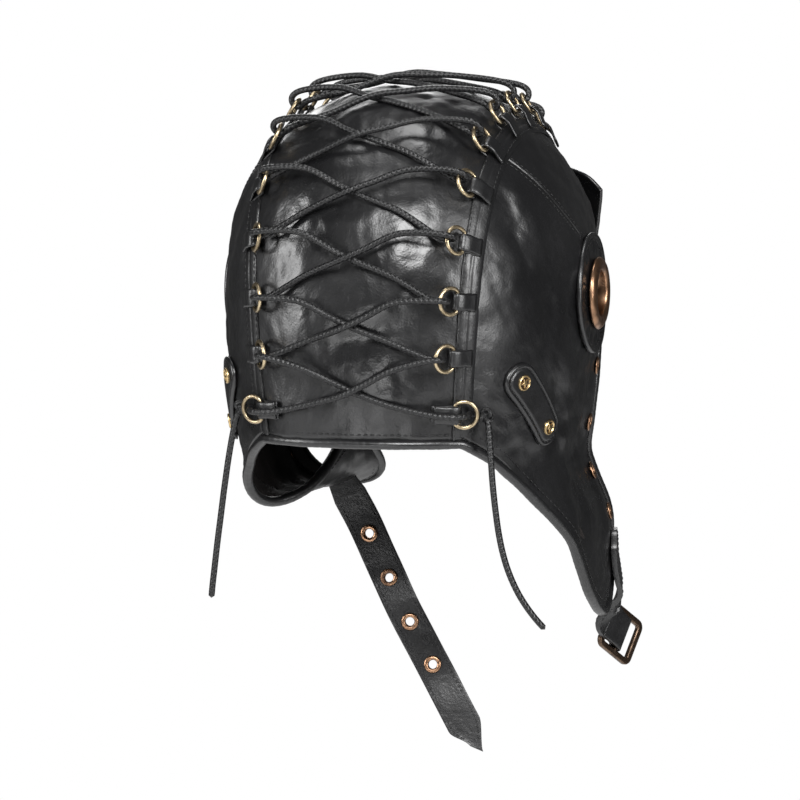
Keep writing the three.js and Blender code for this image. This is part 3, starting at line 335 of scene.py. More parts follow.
rear_flat = coons(lambda u: seam_point(lerp(SEAM_TOP + 0.001, 1.0, u), -UNDER_WELT),
                  lambda u: edge_at(lerp(EAR_FRONT_AT, TIP_AT, u), PANEL_INSET),
                  lambda v: side_seam(v, SEAM_OVERLAP),
                  lambda v: edge_at(lerp(1.0, TIP_AT, v), PANEL_INSET))
front_flat = coons(lambda u: seam_point(lerp(SEAM_TOP - 0.001, 0.0, u), -UNDER_WELT),
                   lambda u: edge_at(lerp(EAR_FRONT_AT, TEMPLE_AT, u), PANEL_INSET),
                   lambda v: side_seam(v, -SEAM_OVERLAP),
                   lambda v: edge_at(lerp(0.0, TEMPLE_AT, v), PANEL_INSET))


# Mesh tools: a grid or solid from bmesh operators is moved to its place in space
def new_piece(name, bm, *looks):
    mesh = bpy.data.meshes.new(name)
    bm.to_mesh(mesh)
    bm.free()
    obj = bpy.data.objects.new(name, mesh)
    bpy.context.scene.collection.objects.link(obj)
    for look in looks:
        mesh.materials.append(material(look))
    mesh.shade_smooth()
    return obj


def dress(obj, node, body="root"):
    """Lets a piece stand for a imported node."""
    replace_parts(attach(obj, body), node)


def add(obj):
    """Lets a piece of the scene's own ride the hat."""
    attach(obj, "root")


def place(verts, at):
    """Moves vertices given in a unit box to at(a, b, c), in millimetres."""
    verts = list(verts)
    co = np.array([v.co[:] for v in verts])
    for v, p in zip(verts, at(co[:, 0], co[:, 1], co[:, 2]) * MM):
        v.co = p


WELD = 2e-6


def grid(bm, along, around, at, closed=""):
    """A patch at(u, v), u and v from 0 to 1; closed names the ways that join up."""
    made = bmesh.ops.create_grid(bm, x_segments=along, y_segments=around, size=0.5, calc_uvs=True)
    place(made["verts"], lambda a, b, c: at(a + 0.5, b + 0.5))
    if closed:
        bmesh.ops.remove_doubles(bm, verts=made["verts"], dist=WELD)
    faces = list(dict.fromkeys(f for v in made["verts"] if v.is_valid for f in v.link_faces))
    bmesh.ops.recalc_face_normals(bm, faces=faces)
    return faces


def cut_holes(bm, holes, depth=9.0):
    """Takes out of a patch what lies within a radius of each frame's outward line."""
    for (p, _, _, out), radius in holes:
        def near(v):
            c = np.array(v.co) / MM - p
            off = np.dot(c, out)
            return abs(off) < depth and np.linalg.norm(c - out * off) < radius
        for _ in range(3):
            rim = [e for e in bm.edges
                   if 0.5 * radius < np.linalg.norm(np.array(e.verts[0].co) / MM - p) < 1.6 * radius
                   and e.calc_length() > 0.22 * radius * MM]
            if rim:
                bmesh.ops.subdivide_edges(bm, edges=rim, cuts=1, use_grid_fill=True)
        bmesh.ops.delete(bm, geom=[v for v in bm.verts if near(v)], context="VERTS")


def new_bm():
    bm = bmesh.new()
    bm.loops.layers.uv.new("UVMap")
    return bm


def thicken(obj, thickness=LEATHER, inner=0):
    """Gives a patch its thickness, inward, with the material slot of its inner face."""
    solid = obj.modifiers.new("Thickness", "SOLIDIFY")
    solid.thickness = thickness * MM
    solid.offset = -1.0
    solid.use_even_offset = False
    solid.material_offset = inner
    return obj


def bevelled(obj, width, segments=3, angle=40):
    m = obj.modifiers.new("Edges", "BEVEL")
    m.width, m.segments, m.limit_method = width * MM, segments, "ANGLE"
    m.angle_limit = math.radians(angle)
    return obj


def face_out(bm, sense):
    """Turns a patch so that its face at the middle looks along sense."""
    faces = list(bm.faces)
    middle = sum(f.normal.dot(Vector(sense(f.calc_center_median()))) for f in faces[::7])
    if middle < 0:
        bmesh.ops.reverse_faces(bm, faces=faces)


CURVE_STEPS = 12


def curve_through(points, count):
    """A centripetal Catmull-Rom line through points, evenly spaced."""
    p = np.asarray(points, float)
    q = np.concatenate([2 * p[:1] - p[1:2], p, 2 * p[-1:] - p[-2:-1]])
    out = []
    for i in range(len(p) - 1):
        knots = [max(np.linalg.norm(step), 1e-6) ** 0.5 for step in np.diff(q[i:i + 4], axis=0)]
        t0, t1, t2, t3 = np.cumsum([0.0] + knots)
        t = np.linspace(t1, t2, CURVE_STEPS, endpoint=False)[:, None]
        blend = lambda a, b, start, end: ((end - t) / (end - start) * a
                                          + (t - start) / (end - start) * b)
        a, b, c, d = q[i:i + 4]
        first, second, third = blend(a, b, t0, t1), blend(b, c, t1, t2), blend(c, d, t2, t3)
        out.append(blend(blend(first, second, t0, t2), blend(second, third, t1, t3), t1, t2))
    out.append(p[-1:])
    return even(np.concatenate(out), count)


def tangents(p):
    return unit(np.gradient(p, axis=0))


def carried(p):
    """Two directions square to a line, carried along it without twist."""
    t = tangents(p)
    first = np.cross(t[0], (0.3, 0.5, 0.81))
    a = [first / np.linalg.norm(first)]
    for i in range(1, len(p)):
        w = a[-1] - t[i] * np.dot(a[-1], t[i])
        a.append(w / np.linalg.norm(w))
    a = np.array(a)
    return a, np.cross(t, a)


def at_rows(rows, u):
    """Rows picked, between neighbours, at u from 0 to 1."""
    s = u * (len(rows) - 1)
    i = np.minimum(s.astype(int), len(rows) - 2)
    return lerp(rows[i], rows[i + 1], (s - i)[:, None])


def tube(bm, p, radius, sides):
    """A round tube with rounded ends along a line."""
    a, b = carried(p)
    length = steps_of(p).sum()

    def at(u, v):
        end = np.minimum(np.minimum(u, 1 - u) * length / radius, 1.0)
        r = radius * np.sqrt(np.clip(1 - (1 - end) ** 2, 0.0, 1))
        turn = 2 * math.pi * v
        return (at_rows(p, u) + at_rows(a, u) * (r * np.cos(turn))[:, None]
                + at_rows(b, u) * (r * np.sin(turn))[:, None])
    faces = grid(bm, len(p) - 1, sides, at, closed="v")
    layer = bm.loops.layers.uv.active
    for f in faces:
        for loop in f.loops:
            loop[layer].uv[0] *= length * MM


def softened(p):
    """A closed line with its corners eased."""
    for _ in range(3):
        p = (np.roll(p, 1, 0) + 2 * p + np.roll(p, -1, 0)) / 4
    return p


def loop_ways(p):
    return unit(np.roll(p, -1, 0) - np.roll(p, 1, 0))


def ring_tube(bm, middle, a, b, sides):
    """A closed tube: middle, a and b are rows of its centre and its two half-widths."""
    middle, a, b = (np.concatenate([x, x[:1]]) for x in (middle, a, b))

    def at(u, v):
        turn = 2 * math.pi * v
        return (at_rows(middle, u) + at_rows(a, u) * np.cos(turn)[:, None]
                + at_rows(b, u) * np.sin(turn)[:, None])
    return grid(bm, len(middle) - 1, sides, at, closed="uv")


def lathe(bm, profile, f, steps=48, wave=None):
    """Turns (radius, height) points about the outward way of a frame (p, back, up, out)."""
    profile = np.asarray(profile, float)

    def at(u, v):
        r, z = at_rows(profile, v).T
        turn = 2 * math.pi * u
        return local(f, r * np.cos(turn), r * np.sin(turn), z + (wave(turn, r) if wave else 0))
    return grid(bm, steps, len(profile) - 1, at, closed="u")


def basis(p, x, y, z):
    """A matrix that moves to p, in millimetres, with the ways x, y and z."""
    return Matrix([(*ways, at * MM) for *ways, at in zip(x, y, z, p)] + [(0, 0, 0, 1)])


def sewn_row(f, lift):
    """A row for stitches along the frames of a side."""
    return raised(f, np.full(len(f[0]), lift)), f[3]


def crown_row(x, turn, lift=0.0):
    p = crown_point(x, turn, lift)
    return p, form_normal(p)


# How high a stitch's middle lies over the leather, and how much of it sinks in
SEWN, SUNK = 0.1, 0.15


def stitches(name, rows, length=2.2, pitch=3.2, wide=0.36):
    """Sews thread stitches along lines; each row is (points, outward ways)."""
    bm = new_bm()
    for p, out in rows:
        run = run_along(p)
        count = int(run[-1] / pitch)
        for at in (np.arange(count) + 0.5) * run[-1] / max(count, 1):
            q, o = read_at(p, run, at), unit(read_at(out, run, at))
            d = unit(read_at(p, run, at + length / 2) - read_at(p, run, at - length / 2) + 1e-9)
            w = unit(np.cross(o, d))
            m = basis(q - o * wide * SUNK, d * length / 2 * MM, w * wide * MM,
                      np.cross(d, w) * wide * 0.8 * MM)
            bmesh.ops.create_uvsphere(bm, u_segments=6, v_segments=4, radius=1,
                                      matrix=m @ Matrix.Rotation(math.pi / 2, 4, "Y"))
    add(new_piece(name, bm, "black_thread"))


# Materials
def node(tree, kind, **values):
    n = tree.nodes.new(kind)
    for key, value in values.items():
        if key in n.inputs:
            n.inputs[key].default_value = value
        else:
            setattr(n, key, value)
    return n


def wires(tree, *pairs):
    for a, b in pairs:
        tree.links.new(a, b)


def shader(name, color, roughness, metallic=0.0):
    m = bpy.data.materials.new(name)
    m.use_nodes = True
    m.diffuse_color = (*color, 1)
    main = m.node_tree.nodes["Principled BSDF"]
    main.inputs["Base Color"].default_value = (*color, 1)
    main.inputs["Roughness"].default_value = roughness
    main.inputs["Metallic"].default_value = metallic
    return m, m.node_tree, main


def texture(tree, kind, **values):
    """A procedural texture on Object coordinates."""
    n = node(tree, f"ShaderNodeTex{kind}", **values)
    wires(tree, (node(tree, "ShaderNodeTexCoord").outputs["Object"], n.inputs["Vector"]))
    return n


def ranged(tree, value, low=0.0, high=1.0, to_low=0.0, to_high=1.0):
    limits = {"From Min": low, "From Max": high, "To Min": to_low, "To Max": to_high}
    n = node(tree, "ShaderNodeMapRange", **limits)
    wires(tree, (value, n.inputs["Value"]))
    return n.outputs["Result"]


def mixed(tree, factor, first, second):
    n = node(tree, "ShaderNodeMix", data_type="RGBA")
    n.inputs["A"].default_value = (*first, 1)
    n.inputs["B"].default_value = (*second, 1)
    wires(tree, (factor, n.inputs["Factor"]))
    return n.outputs["Result"]


def bumped(tree, height, strength, distance, under=None):
    """A bump from a height, over the normal of another."""
    n = node(tree, "ShaderNodeBump", Strength=strength, Distance=distance)
    wires(tree, (height, n.inputs["Height"]))
    if under:
        wires(tree, (under, n.inputs["Normal"]))
    return n.outputs["Normal"]


def leather_material(name, color, roughness, grain=1.0, crease=1.0, specular=0.5):
    """Smooth black hide: fine pebble grain, soft creases and worn gloss."""
    m, t, main = shader(name, color, roughness)
    main.inputs["Specular IOR Level"].default_value = specular
    cells = texture(t, "Voronoi", feature="SMOOTH_F1", Scale=1150.0, Randomness=1.0)
    pores = texture(t, "Noise", Scale=420.0, Detail=4.0)
    folds = texture(t, "Noise", Scale=46.0, Detail=2.5, Roughness=0.5, Distortion=0.9)
    wear = texture(t, "Noise", Scale=24.0, Detail=4.0).outputs["Fac"]
    large = bumped(t, folds.outputs["Fac"], 0.34 * crease, 0.0016)
    soft = bumped(t, pores.outputs["Fac"], 0.22 * grain, 0.0004, large)
    fine = bumped(t, cells.outputs["Distance"], 0.16 * grain, 0.0003, soft)
    gloss = ranged(t, wear, 0.3, 0.7, roughness - 0.07, roughness + 0.09)
    tone = mixed(t, wear, [c * 0.75 for c in color], [c * 1.5 + 0.001 for c in color])
    wires(t, (fine, main.inputs["Normal"]), (gloss, main.inputs["Roughness"]),
          (tone, main.inputs["Base Color"]))
    return m


def metal_material(name, bright, dark, roughness, scale=160.0):
    """Antique plated metal: bright where rubbed, dark in patches."""
    m, t, main = shader(name, bright, roughness, 1.0)
    patches = texture(t, "Noise", Scale=scale, Detail=5.0, Roughness=0.6).outputs["Fac"]
    rubbed = ranged(t, patches, 0.33, 0.58)
    gloss = ranged(t, rubbed, to_low=roughness + 0.16, to_high=roughness - 0.04)
    wires(t, (mixed(t, rubbed, dark, bright), main.inputs["Base Color"]),
          (gloss, main.inputs["Roughness"]),
          (bumped(t, patches, 0.15, 0.0003), main.inputs["Normal"]))
    return m


def lace_material(name, color, roughness, strand_turns, strand_pitch):
    """Waxed braided cord: two crossing spirals along the UV of the tube; painted shade in their
    grooves.
    """
    m, t, main = shader(name, color, roughness)
    main.inputs["Specular IOR Level"].default_value = 0.3
    parts = node(t, "ShaderNodeSeparateXYZ")
    wires(t, (node(t, "ShaderNodeUVMap").outputs["UV"], parts.inputs["Vector"]))

    def spiral(turns):
        run = node(t, "ShaderNodeMath", operation="MULTIPLY")
        run.inputs[1].default_value = 2 * math.pi * strand_pitch
        turn = node(t, "ShaderNodeMath", operation="MULTIPLY_ADD")
        turn.inputs[1].default_value = 2 * math.pi * turns
        wave = node(t, "ShaderNodeMath", operation="SINE")
        wires(t, (parts.outputs["X"], run.inputs[0]), (parts.outputs["Y"], turn.inputs[0]),
              (run.outputs[0], turn.inputs[2]), (turn.outputs[0], wave.inputs[0]))
        return wave.outputs[0]
    both = node(t, "ShaderNodeMath", operation="MAXIMUM")
    wires(t, (spiral(strand_turns), both.inputs[0]), (spiral(-strand_turns), both.inputs[1]))
    height = both.outputs[0]
    # Painted shade: the cord is darker in the grooves between its strands and lighter on their
    # crowns
    tone = mixed(t, ranged(t, height, low=-0.6), (0.002, 0.002, 0.002), (0.009, 0.009, 0.0095))
    wires(t, (bumped(t, height, 0.4, 0.0003), main.inputs["Normal"]),
          (tone, main.inputs["Base Color"]))
    return m


MATERIALS = {
    "black_leather": (leather_material, (0.0034, 0.0034, 0.0037), 0.32),
    "leather_lining": (leather_material, (0.007, 0.0055, 0.005), 0.72, 1.6, 0.6, 0.2),
    "black_thread": (leather_material, (0.006, 0.006, 0.0062), 0.5, 0.3, 0.1, 0.3),
    "waxed_lace": (lace_material, (0.004, 0.004, 0.004), 0.36, 3, 420.0),
    "antique_brass": (metal_material, (0.40, 0.325, 0.21), (0.13, 0.10, 0.065), 0.33),
    "antique_gold": (metal_material, (0.50, 0.37, 0.19), (0.22, 0.155, 0.075), 0.32, 240.0),
    "aged_copper": (metal_material, (0.30, 0.175, 0.105), (0.09, 0.052, 0.034), 0.32, 220.0),
    # The dark bronze below is the buckle's own metal, and also painted shade in the rivet recesses
    "dark_bronze_and_recess_shade": (metal_material, (0.115, 0.078, 0.054), (0.025, 0.018, 0.014), 0.36, 200.0),
}


def material(name):
    """The material of this name, made once."""
    if name not in bpy.data.materials:
        make, *looks = MATERIALS[name]
        make(name, *looks)
    return bpy.data.materials[name]


# Soft creases in the leather, in millimetres
CROWN_FOLDS = ((0.50, -0.2, 0.6, 0.030, 1.4, 0.05), (0.61, 0.25, 0.6, 0.028, 1.8, -0.06),
               (0.70, -0.1, 0.7, 0.026, 2.0, 0.05), (0.79, 0.1, 0.6, 0.026, 1.8, -0.05),
               (0.88, -0.2, 0.6, 0.024, 1.8, 0.04), (0.30, 0.1, 0.5, 0.030, 1.2, -0.04))
SIDE_FOLDS = ((0.45, 0.42, 0.16, 0.05, 2.4, 0.4), (0.60, 0.28, 0.14, 0.05, 2.0, -0.3),
              (-0.12, 0.66, 0.16, 0.045, 2.6, 0.1), (0.12, 0.83, 0.11, 0.05, 2.2, 0.5),
              (0.30, 0.60, 0.12, 0.04, 1.6, -0.5), (-0.20, 0.80, 0.10, 0.035, 1.4, 0.3))


def crown_fold(u, v):
    total = np.zeros_like(u)
    for run, across, long, wide, deep, slant in CROWN_FOLDS:
        total -= deep * np.exp(-((u - run - slant * (v - across)) / wide) ** 2
                               - 2 * ((v - across) / long) ** 2)
    return total * (1 - v ** 8)


def side_fold(y, drop):
    total = np.zeros_like(y)
    for back, fall, long, wide, deep, lean in SIDE_FOLDS:
        down = drop / FLAP_DROP - fall
        away = y / BACK_REACH - back - lean * down
        total += deep * np.exp(-0.4 * (away / wide) ** 2 - 2 * (down / long) ** 2)
    return total


def rumple(p, scale, height, seed=0.0):
    """Seeded soft noise at points in millimetres, for creases too fine for the folds."""
    return np.array([noise.fractal(Vector((x * scale + seed, y * scale, z * scale)), 0.8, 2.1, 3)
                     for x, y, z in p]) * height


def seam_length():
    u = np.linspace(1, 0, 401)
    return u, run_along(on_crown(u, 1.0))


SEAM_U, SEAM_RUN = seam_length()


def seam_at(length):
    return float(np.interp(length, SEAM_RUN, SEAM_U))


def seam_frame(side, u):
    """(point, inward, down, out) on a crown seam."""
    p = on_crown(np.float64(u), side)
    out = form_normal(p)
    ahead, behind = (on_crown(np.float64(at), side) for at in (min(u + 0.002, 1), u - 0.002))
    down = unit(ahead - behind)
    inward = unit(np.cross(down, out))
    return p, (-inward if inward[0] * side > 0 else inward), down, out


WIRE_HOLE = RING_WIRE / 2 + CLEAR
BAR_HEIGHT = CLEAR + 0.3 + LOOP_WALL + WIRE_HOLE
BAR_AT = LOOP_LENGTH - LOOP_WALL - WIRE_HOLE - 1
RING_BEND = (RING_SIZE - RING_WIRE) / 2
RING_FLAT = RING_BEND * 0.66
BOW_TILT = math.asin((BOW_LIFT - BAR_HEIGHT) / (RING_BEND + RING_FLAT))
BOW_AT = BAR_AT + (RING_BEND + RING_FLAT) * math.cos(BOW_TILT)
TURN = RING_WIRE / 2 + LACE / 2 + CLEAR + LACE_PLAY
LACE_REST = LACE / 2 + CLEAR + LACE_PLAY


def ring_frame(side, k):
    p, inward, down, out = seam_frame(side, seam_at(FIRST_RING + k * RING_PITCH))
    if k == 0:
        return p + inward * (BAR_AT + TURNED_RING_IN), -inward, down, out
    return p, inward, down, out


def last_turn(side):
    f = ring_frame(side, 0)
    bar = BAR_HEIGHT + LOOP_WALL + WIRE_HOLE + LACE / 2 + CLEAR
    return [local(f, x, 0, z) for x, z in (
        (BAR_AT - LOOP_LENGTH + 1, bar * 0.62), (BAR_AT - 5, bar + 0.4), (BAR_AT + 0.6, bar + 0.7),
        (BAR_AT + 5.6, BOW_LIFT - 0.5), (BOW_AT - 2.6, BOW_LIFT - TURN * 0.93),
        (BOW_AT + 2, BOW_LIFT - TURN - 0.2))]


LACE_STEPS = ((0.18, 0.7, 0.0), (0.40, 0.05, 0.8), (0.56, 0.0, 0.9), (0.80, 0.0, 0.0))


def strand(side):
    """The line of the strand that starts at the top ring of a side."""
    points, start = [], side
    for k in range(RINGS - 1, 0, -1):
        f = ring_frame(start, k)
        points += [local(f, BOW_AT + x * TURN, 0, BOW_LIFT + z * TURN) for x, z in (
            (0.8, -1), (-0.6, -0.92), (-1.12, 0), (-0.6, 0.92), (0.8, 1))]
        u0, u1 = seam_at(FIRST_RING + k * RING_PITCH), seam_at(FIRST_RING + (k - 1) * RING_PITCH)
        over = (k % 2 == 0) == (side > 0)
        for way, height, cross in LACE_STEPS:
            u = lerp(u0, u1, way)
            x = lerp(start * (seam_half(u0) - BOW_AT), -start * (seam_half(u1) - BOW_AT), way)
            lift = (LACE_REST + height * (BOW_LIFT + TURN - LACE_REST)
                    + over * cross * (LACE + CLEAR * 3))
            slack = LACE_SLACK * math.sin(math.pi * way)
            points.append(crown_point(x, crown_turn(np.float64(x), u) + slack / BACK_REACH, lift))
        start = -start
    return np.array(points + last_turn(start))


# Each free end's way from its ring, in millimetres
LACE_ENDS = {
    "left": ((0, 0, 0.0), (2.6, 0.8, -2.8), (4.3, 1.2, -8.1), (5.6, 1.4, -14.0), (6.8, 1.5, -20.5),
             (7.9, 1.5, -27.0), (8.9, 1.4, -33.5), (9.9, 1.3, -40.0), (10.8, 1.2, -46.4),
             (11.7, 1.1, -52.9), (12.6, 1.1, -59.4), (13.5, 1.0, -65.9), (14.3, 1.0, -72.4),
             (15.1, 0.9, -78.8), (15.9, 0.9, -85.3), (16.6, 0.8, -91.8)),
    "right": ((0, 0, 0.0), (-2.2, 1.2, -3.2), (-3.3, 1.7, -9.2), (-3.9, 1.9, -16.7),
              (-4.4, 2, -24.1), (-5.0, 2, -32.2), (-5.8, 1.9, -40.2), (-6.8, 1.8, -48.3),
              (-8.0, 1.7, -56.3), (-9.7, 1.6, -64.4), (-11.9, 1.5, -71.9), (-14.7, 1.4, -78.8),
              (-18.0, 1.3, -85.1), (-21.8, 1.2, -90.8), (-26.0, 1.1, -96.0), (-30.4, 1.0, -100.6)),
}


def lace_end_line(name, side):
    last = last_turn(side)
    onward = unit(last[-1] - last[-2])
    start = last[-1] + onward * CLEAR
    follow = start + onward * LACE * 0.7
    return curve_through([start] + [follow + np.array(p, float) for p in LACE_ENDS[name]], 90)


def settings(context):
    return context.scene.aviator_hat


class HatSettings(bpy.types.PropertyGroup):
    """Sizes and looks of the hat that may be changed."""
    camera_turn: FloatProperty(
        name="Camera turn", description="Way the camera stands round the hat",
        default=math.radians(197), subtype="ANGLE")
    camera_rise: FloatProperty(
        name="Camera rise", description="Height of the camera's view",
        default=math.radians(5), subtype="ANGLE")
    camera_distance: FloatProperty(
        name="Camera distance", description="From the hat's middle", default=2.5, unit="LENGTH")
    rumple_height: FloatProperty(
        name="Creases", description="Height of the fine creases", default=0.0007, unit="LENGTH")
    stitch_pitch: FloatProperty(
        name="Stitch pitch", description="Length of seam to one stitch", default=0.0031,
        unit="LENGTH")
    lace_sides: IntProperty(name="Lace sides", description="Faces round a lace", default=12, min=6)
    ground_color: FloatVectorProperty(
        name="Ground", description="Colour of the pale ground", default=(0.86, 0.86, 0.86),
        subtype="COLOR", size=3, min=0, max=1)


class HatOperator:
    bl_options = {"REGISTER", "UNDO"}


class HAT_OT_camera(HatOperator, bpy.types.Operator):
    """Sets the camera at the photo's angle"""
    bl_idname = "hat.camera"
    bl_label = "Camera"

    def execute(self, context):
        s = settings(context)
        data = bpy.data.cameras.new("Camera")
        cam = bpy.data.objects.new("Camera", data)
        context.scene.collection.objects.link(cam)
        turn, rise = s.camera_turn, s.camera_rise
        back = Vector((math.sin(turn) * math.cos(rise), -math.cos(turn) * math.cos(rise),
                       math.sin(rise)))
        right = Vector((math.cos(turn), math.sin(turn), 0))
        up = back.cross(right)
        cam.matrix_world = Matrix((right, up, back)).transposed().to_4x4()
        cam.location = (right * VIEW_RIGHT + up * VIEW_UP) * MM + back * s.camera_distance
        data.sensor_width = SENSOR
        data.lens = SENSOR * s.camera_distance / (VIEW_SPAN * MM)
        context.scene.camera = cam
        return {"FINISHED"}


class HAT_OT_lace_ends(HatOperator, bpy.types.Operator):
    """Hangs the two free lace ends"""
    bl_idname = "hat.lace_ends"
    bl_label = "Lace ends"

    def execute(self, context):
        for name, side in SIDES:
            line = lace_end_line(name, side)
            bm = new_bm()
            tube(bm, line, LACE / 2, settings(context).lace_sides)
            obj = new_piece(f"lace_end_{name}_cord", bm, "waxed_lace")
            length = steps_of(line).sum() * MM
            dress(obj, f"lace_end_{name}")
        return {"FINISHED"}


class HAT_OT_panels(HatOperator, bpy.types.Operator):
    """Shapes the leather panels with their creases"""
    bl_idname = "hat.panels"
    bl_label = "Panels"

    def execute(self, context):
        height = settings(context).rumple_height / MM
        self.crown(height)
        for name, side in SIDES:
            self.side(f"side_panel_{name}", side, rear_flat, 96, height, side_fold,
                      [(side_frame(side, *q), EYELET_HOLE) for q in eyelet_places()])
            self.side(f"front_panel_{name}", side, front_flat, 60, height)
        return {"FINISHED"}

    def crown(self, height):
        def panel(u, v):
            b = v * 2 - 1
            x = b * (seam_half(u) + 0.6)
            turn = crown_turn(x, u, 1.0)
            p = crown_point(x, turn)
            fine = rumple(p, 0.035, height * 1.4) + rumple(p, 0.11, height * 0.6)
            return crown_point(x, turn, crown_fold(u, b) + fine * (1 - b ** 10))
        bm = new_bm()
        grid(bm, 150, 84, panel)
        face_out(bm, from_ear_axis)
        obj = new_piece("crown_panel_leather", bm, "black_leather", "leather_lining")
        dress(thicken(obj, inner=1), "crown_panel")

    def side(self, piece, side, flat, along, height, folds=None, holes=()):
        def panel(u, v):
            q = flat(u, v)
            f = side_frame(side, q[:, 0], q[:, 1])
            still = np.minimum(1, 16 * u * (1 - u)) * np.minimum(1, 16 * v * (1 - v))
            fold = folds(q[:, 0], q[:, 1]) * still if folds else 0
            fine = (rumple(f[0], 0.035, height * 1.6, side * 9.0)
                    + rumple(f[0], 0.10, height * 0.7, side * 9.0))
            return raised(f, fine * still - fold)
        bm = new_bm()
        grid(bm, along, 96, panel)
        cut_holes(bm, [(side_frame(side, EAR_BACK, EAR_DROP), EAR_HOLE + 0.6), *holes])
        face_out(bm, lambda c: (side, 0, 0))
        obj = new_piece(f"{piece}_leather", bm, "black_leather", "leather_lining")
        dress(thicken(obj, inner=1), piece)


def from_ear_axis(c):
    return c.x, c.y - EAR_BACK * MM, c.z + EAR_DROP * MM


def eyelet_places():
    return [edge_at(row / EDGE_LAST, EYELET_EDGE) for row in EYELET_ROWS]


def edge_row(side, inset, lift, start, end, count=320):
    """A row for stitches along the edge of a side."""
    q = edge_at(np.linspace(start, end, count), inset)
    return sewn_row(side_frame(side, q[:, 0], q[:, 1]), lift)


def rim_run():
    """Centres and outward ways round the whole edge, evenly spaced."""
    brow = np.linspace(-1, 1, 60)[1:-1] * SEAM_BROW
    nape = np.linspace(1, -1, 60)[1:-1] * SEAM_NAPE
    rows = (crown_row(brow, crown_turn(brow, 0.0, 0.0)), edge_row(1, 0.0, 0.0, 0, 1, 260),
            crown_row(nape, crown_turn(nape, 1.0, 0.0)), edge_row(-1, 0.0, 0.0, 1, 0, 260))
    spots = np.concatenate([np.concatenate([p, out * FAINT], 1) for p, out in rows])
    both = even(np.concatenate([spots, spots[:1]]), RIM_STEPS)
    return both[:-1, :3], unit(both[:-1, 3:])


# Height, rate and phase of the binding's gathers
GATHERS = ((0.016, 1.7, 0), (0.03, 0.31, 1), (0.012, 2.9, 0))
# Ways ride along with places at this weight, so that the spacing follows the places
FAINT, RIM_STEPS = 1e-3, 900


class HAT_OT_binding(HatOperator, bpy.types.Operator):
    """Rolls the binding round the whole edge and gathers it"""
    bl_idname = "hat.binding"
    bl_label = "Rim binding"

    def execute(self, context):
        p, out = rim_run()
        p = softened(p)
        for _ in range(3):
            out = unit(np.roll(out, 1, 0) + 2 * out + np.roll(out, -1, 0))
        wide = unit(np.cross(loop_ways(p), out))
        gather = 1 + sum(high * np.sin(np.arange(len(p)) * rate + phase)
                         for high, rate, phase in GATHERS)
        bm = new_bm()
        ring_tube(bm, p - out * LEATHER / 2, wide * (BINDING_WIDTH / 2 * gather)[:, None],
                  out * (BINDING_THICKNESS / 2 * (1 + (gather - 1) * 0.8))[:, None], 14)
        obj = new_piece("rim_binding_leather", bm, "black_leather")
        dress(obj, "rim_binding")
        return {"FINISHED"}


class HAT_OT_welts(HatOperator, bpy.types.Operator):
    """Lays the seam welts and the leather loops that hold the rings"""
    bl_idname = "hat.welts"
    bl_label = "Seam welts"

    def execute(self, context):
        for name, side in SIDES:
            def strip(u, v):
                along, across = lerp(0.002, 0.998, u), v * 2 - 1
                x = side * (seam_half(along) + across * WELT_WIDTH / 2)
                turn = crown_turn(seam_half(along), along)
                lift = (WELT_THICKNESS * power(np.abs(across), 3.0) + 0.25
                        - 0.35 * np.exp(-(across / 0.12) ** 2))
                p = crown_point(x, turn, lift)
                return crown_point(x, turn, lift + rumple(p, 0.09, 0.25))
            bm = new_bm()
            grid(bm, 260, 16, strip)
            face_out(bm, from_ear_axis)
            for k in range(RINGS):
                ring_loop(bm, ring_frame(side, k))
            obj = new_piece(f"seam_welt_{name}_leather", bm, "black_leather")
            dress(obj, f"seam_welt_{name}")
            u = np.linspace(0.004, 0.996, 500)
            rows = [crown_row(side * (seam_half(u) + shift), crown_turn(seam_half(u), u),
                              WELT_THICKNESS + SEWN) for shift in (-WELT_SEWN, WELT_SEWN)]
            stitches(f"seam_stitches_{name}", rows, pitch=settings(context).stitch_pitch / MM)
        return {"FINISHED"}


def ring_loop(bm, f):
    """A folded leather loop, stitched at its root, round the flat bar of a ring."""
    outer, root = LOOP_WALL + WIRE_HOLE - 0.3, -WELT_WIDTH / 2
    arc = np.linspace(-math.pi / 2, math.pi / 2, 9)
    line = even([(root + 0.8, 0.35)]
                + [(BAR_AT + outer * math.cos(a), BAR_HEIGHT + outer * math.sin(a)) for a in arc]
                + [(BAR_AT - 3, BAR_HEIGHT + outer * 0.9), (0.5, WELT_THICKNESS + 1.9),
                   (root + 1.4, WELT_THICKNESS + 0.9)], 26)

    def at(u, v):
        along, high = at_rows(line, u).T
        w = v * 2 - 1
        y = w * LOOP_WIDTH / 2 * (1 + 0.03 * np.sin(u * 21))
        return local(f, along, y, high - 0.35 * np.abs(w) ** 6)
    bmesh.ops.solidify(bm, geom=grid(bm, 25, 8, at), thickness=0.9 * MM)


class HAT_OT_rings(HatOperator, bpy.types.Operator):
    """Bends the D-rings"""
    bl_idname = "hat.rings"
    bl_label = "D-rings"

    def execute(self, context):
        t = np.linspace(0, 2 * math.pi, 72, endpoint=False)
        line = softened(np.stack([np.maximum(RING_BEND * np.cos(t), -RING_FLAT) + RING_FLAT,
                                  RING_BEND * np.sin(t)], 1))
        ways = loop_ways(line)
        for name, side in SIDES:
            for k in range(RINGS):
                f = ring_frame(side, k)
                to_bow = f[1] * math.cos(BOW_TILT) + f[3] * math.sin(BOW_TILT)
                stand = unit(np.cross(to_bow, f[2]))
                middle = (local(f, BAR_AT, 0, BAR_HEIGHT) + np.outer(line[:, 0], to_bow)
                          + np.outer(line[:, 1], f[2]))
                away = np.outer(ways[:, 1], to_bow) - np.outer(ways[:, 0], f[2])
                bm = new_bm()
                ring_tube(bm, middle, away * RING_WIRE / 2,
                          np.tile(stand * RING_WIRE / 2, (len(middle), 1)), 12)
                obj = new_piece(f"d_ring_{name}_{k + 1}_wire", bm, "antique_brass")
                dress(obj, f"d_ring_{name}_{k + 1}")
        return {"FINISHED"}


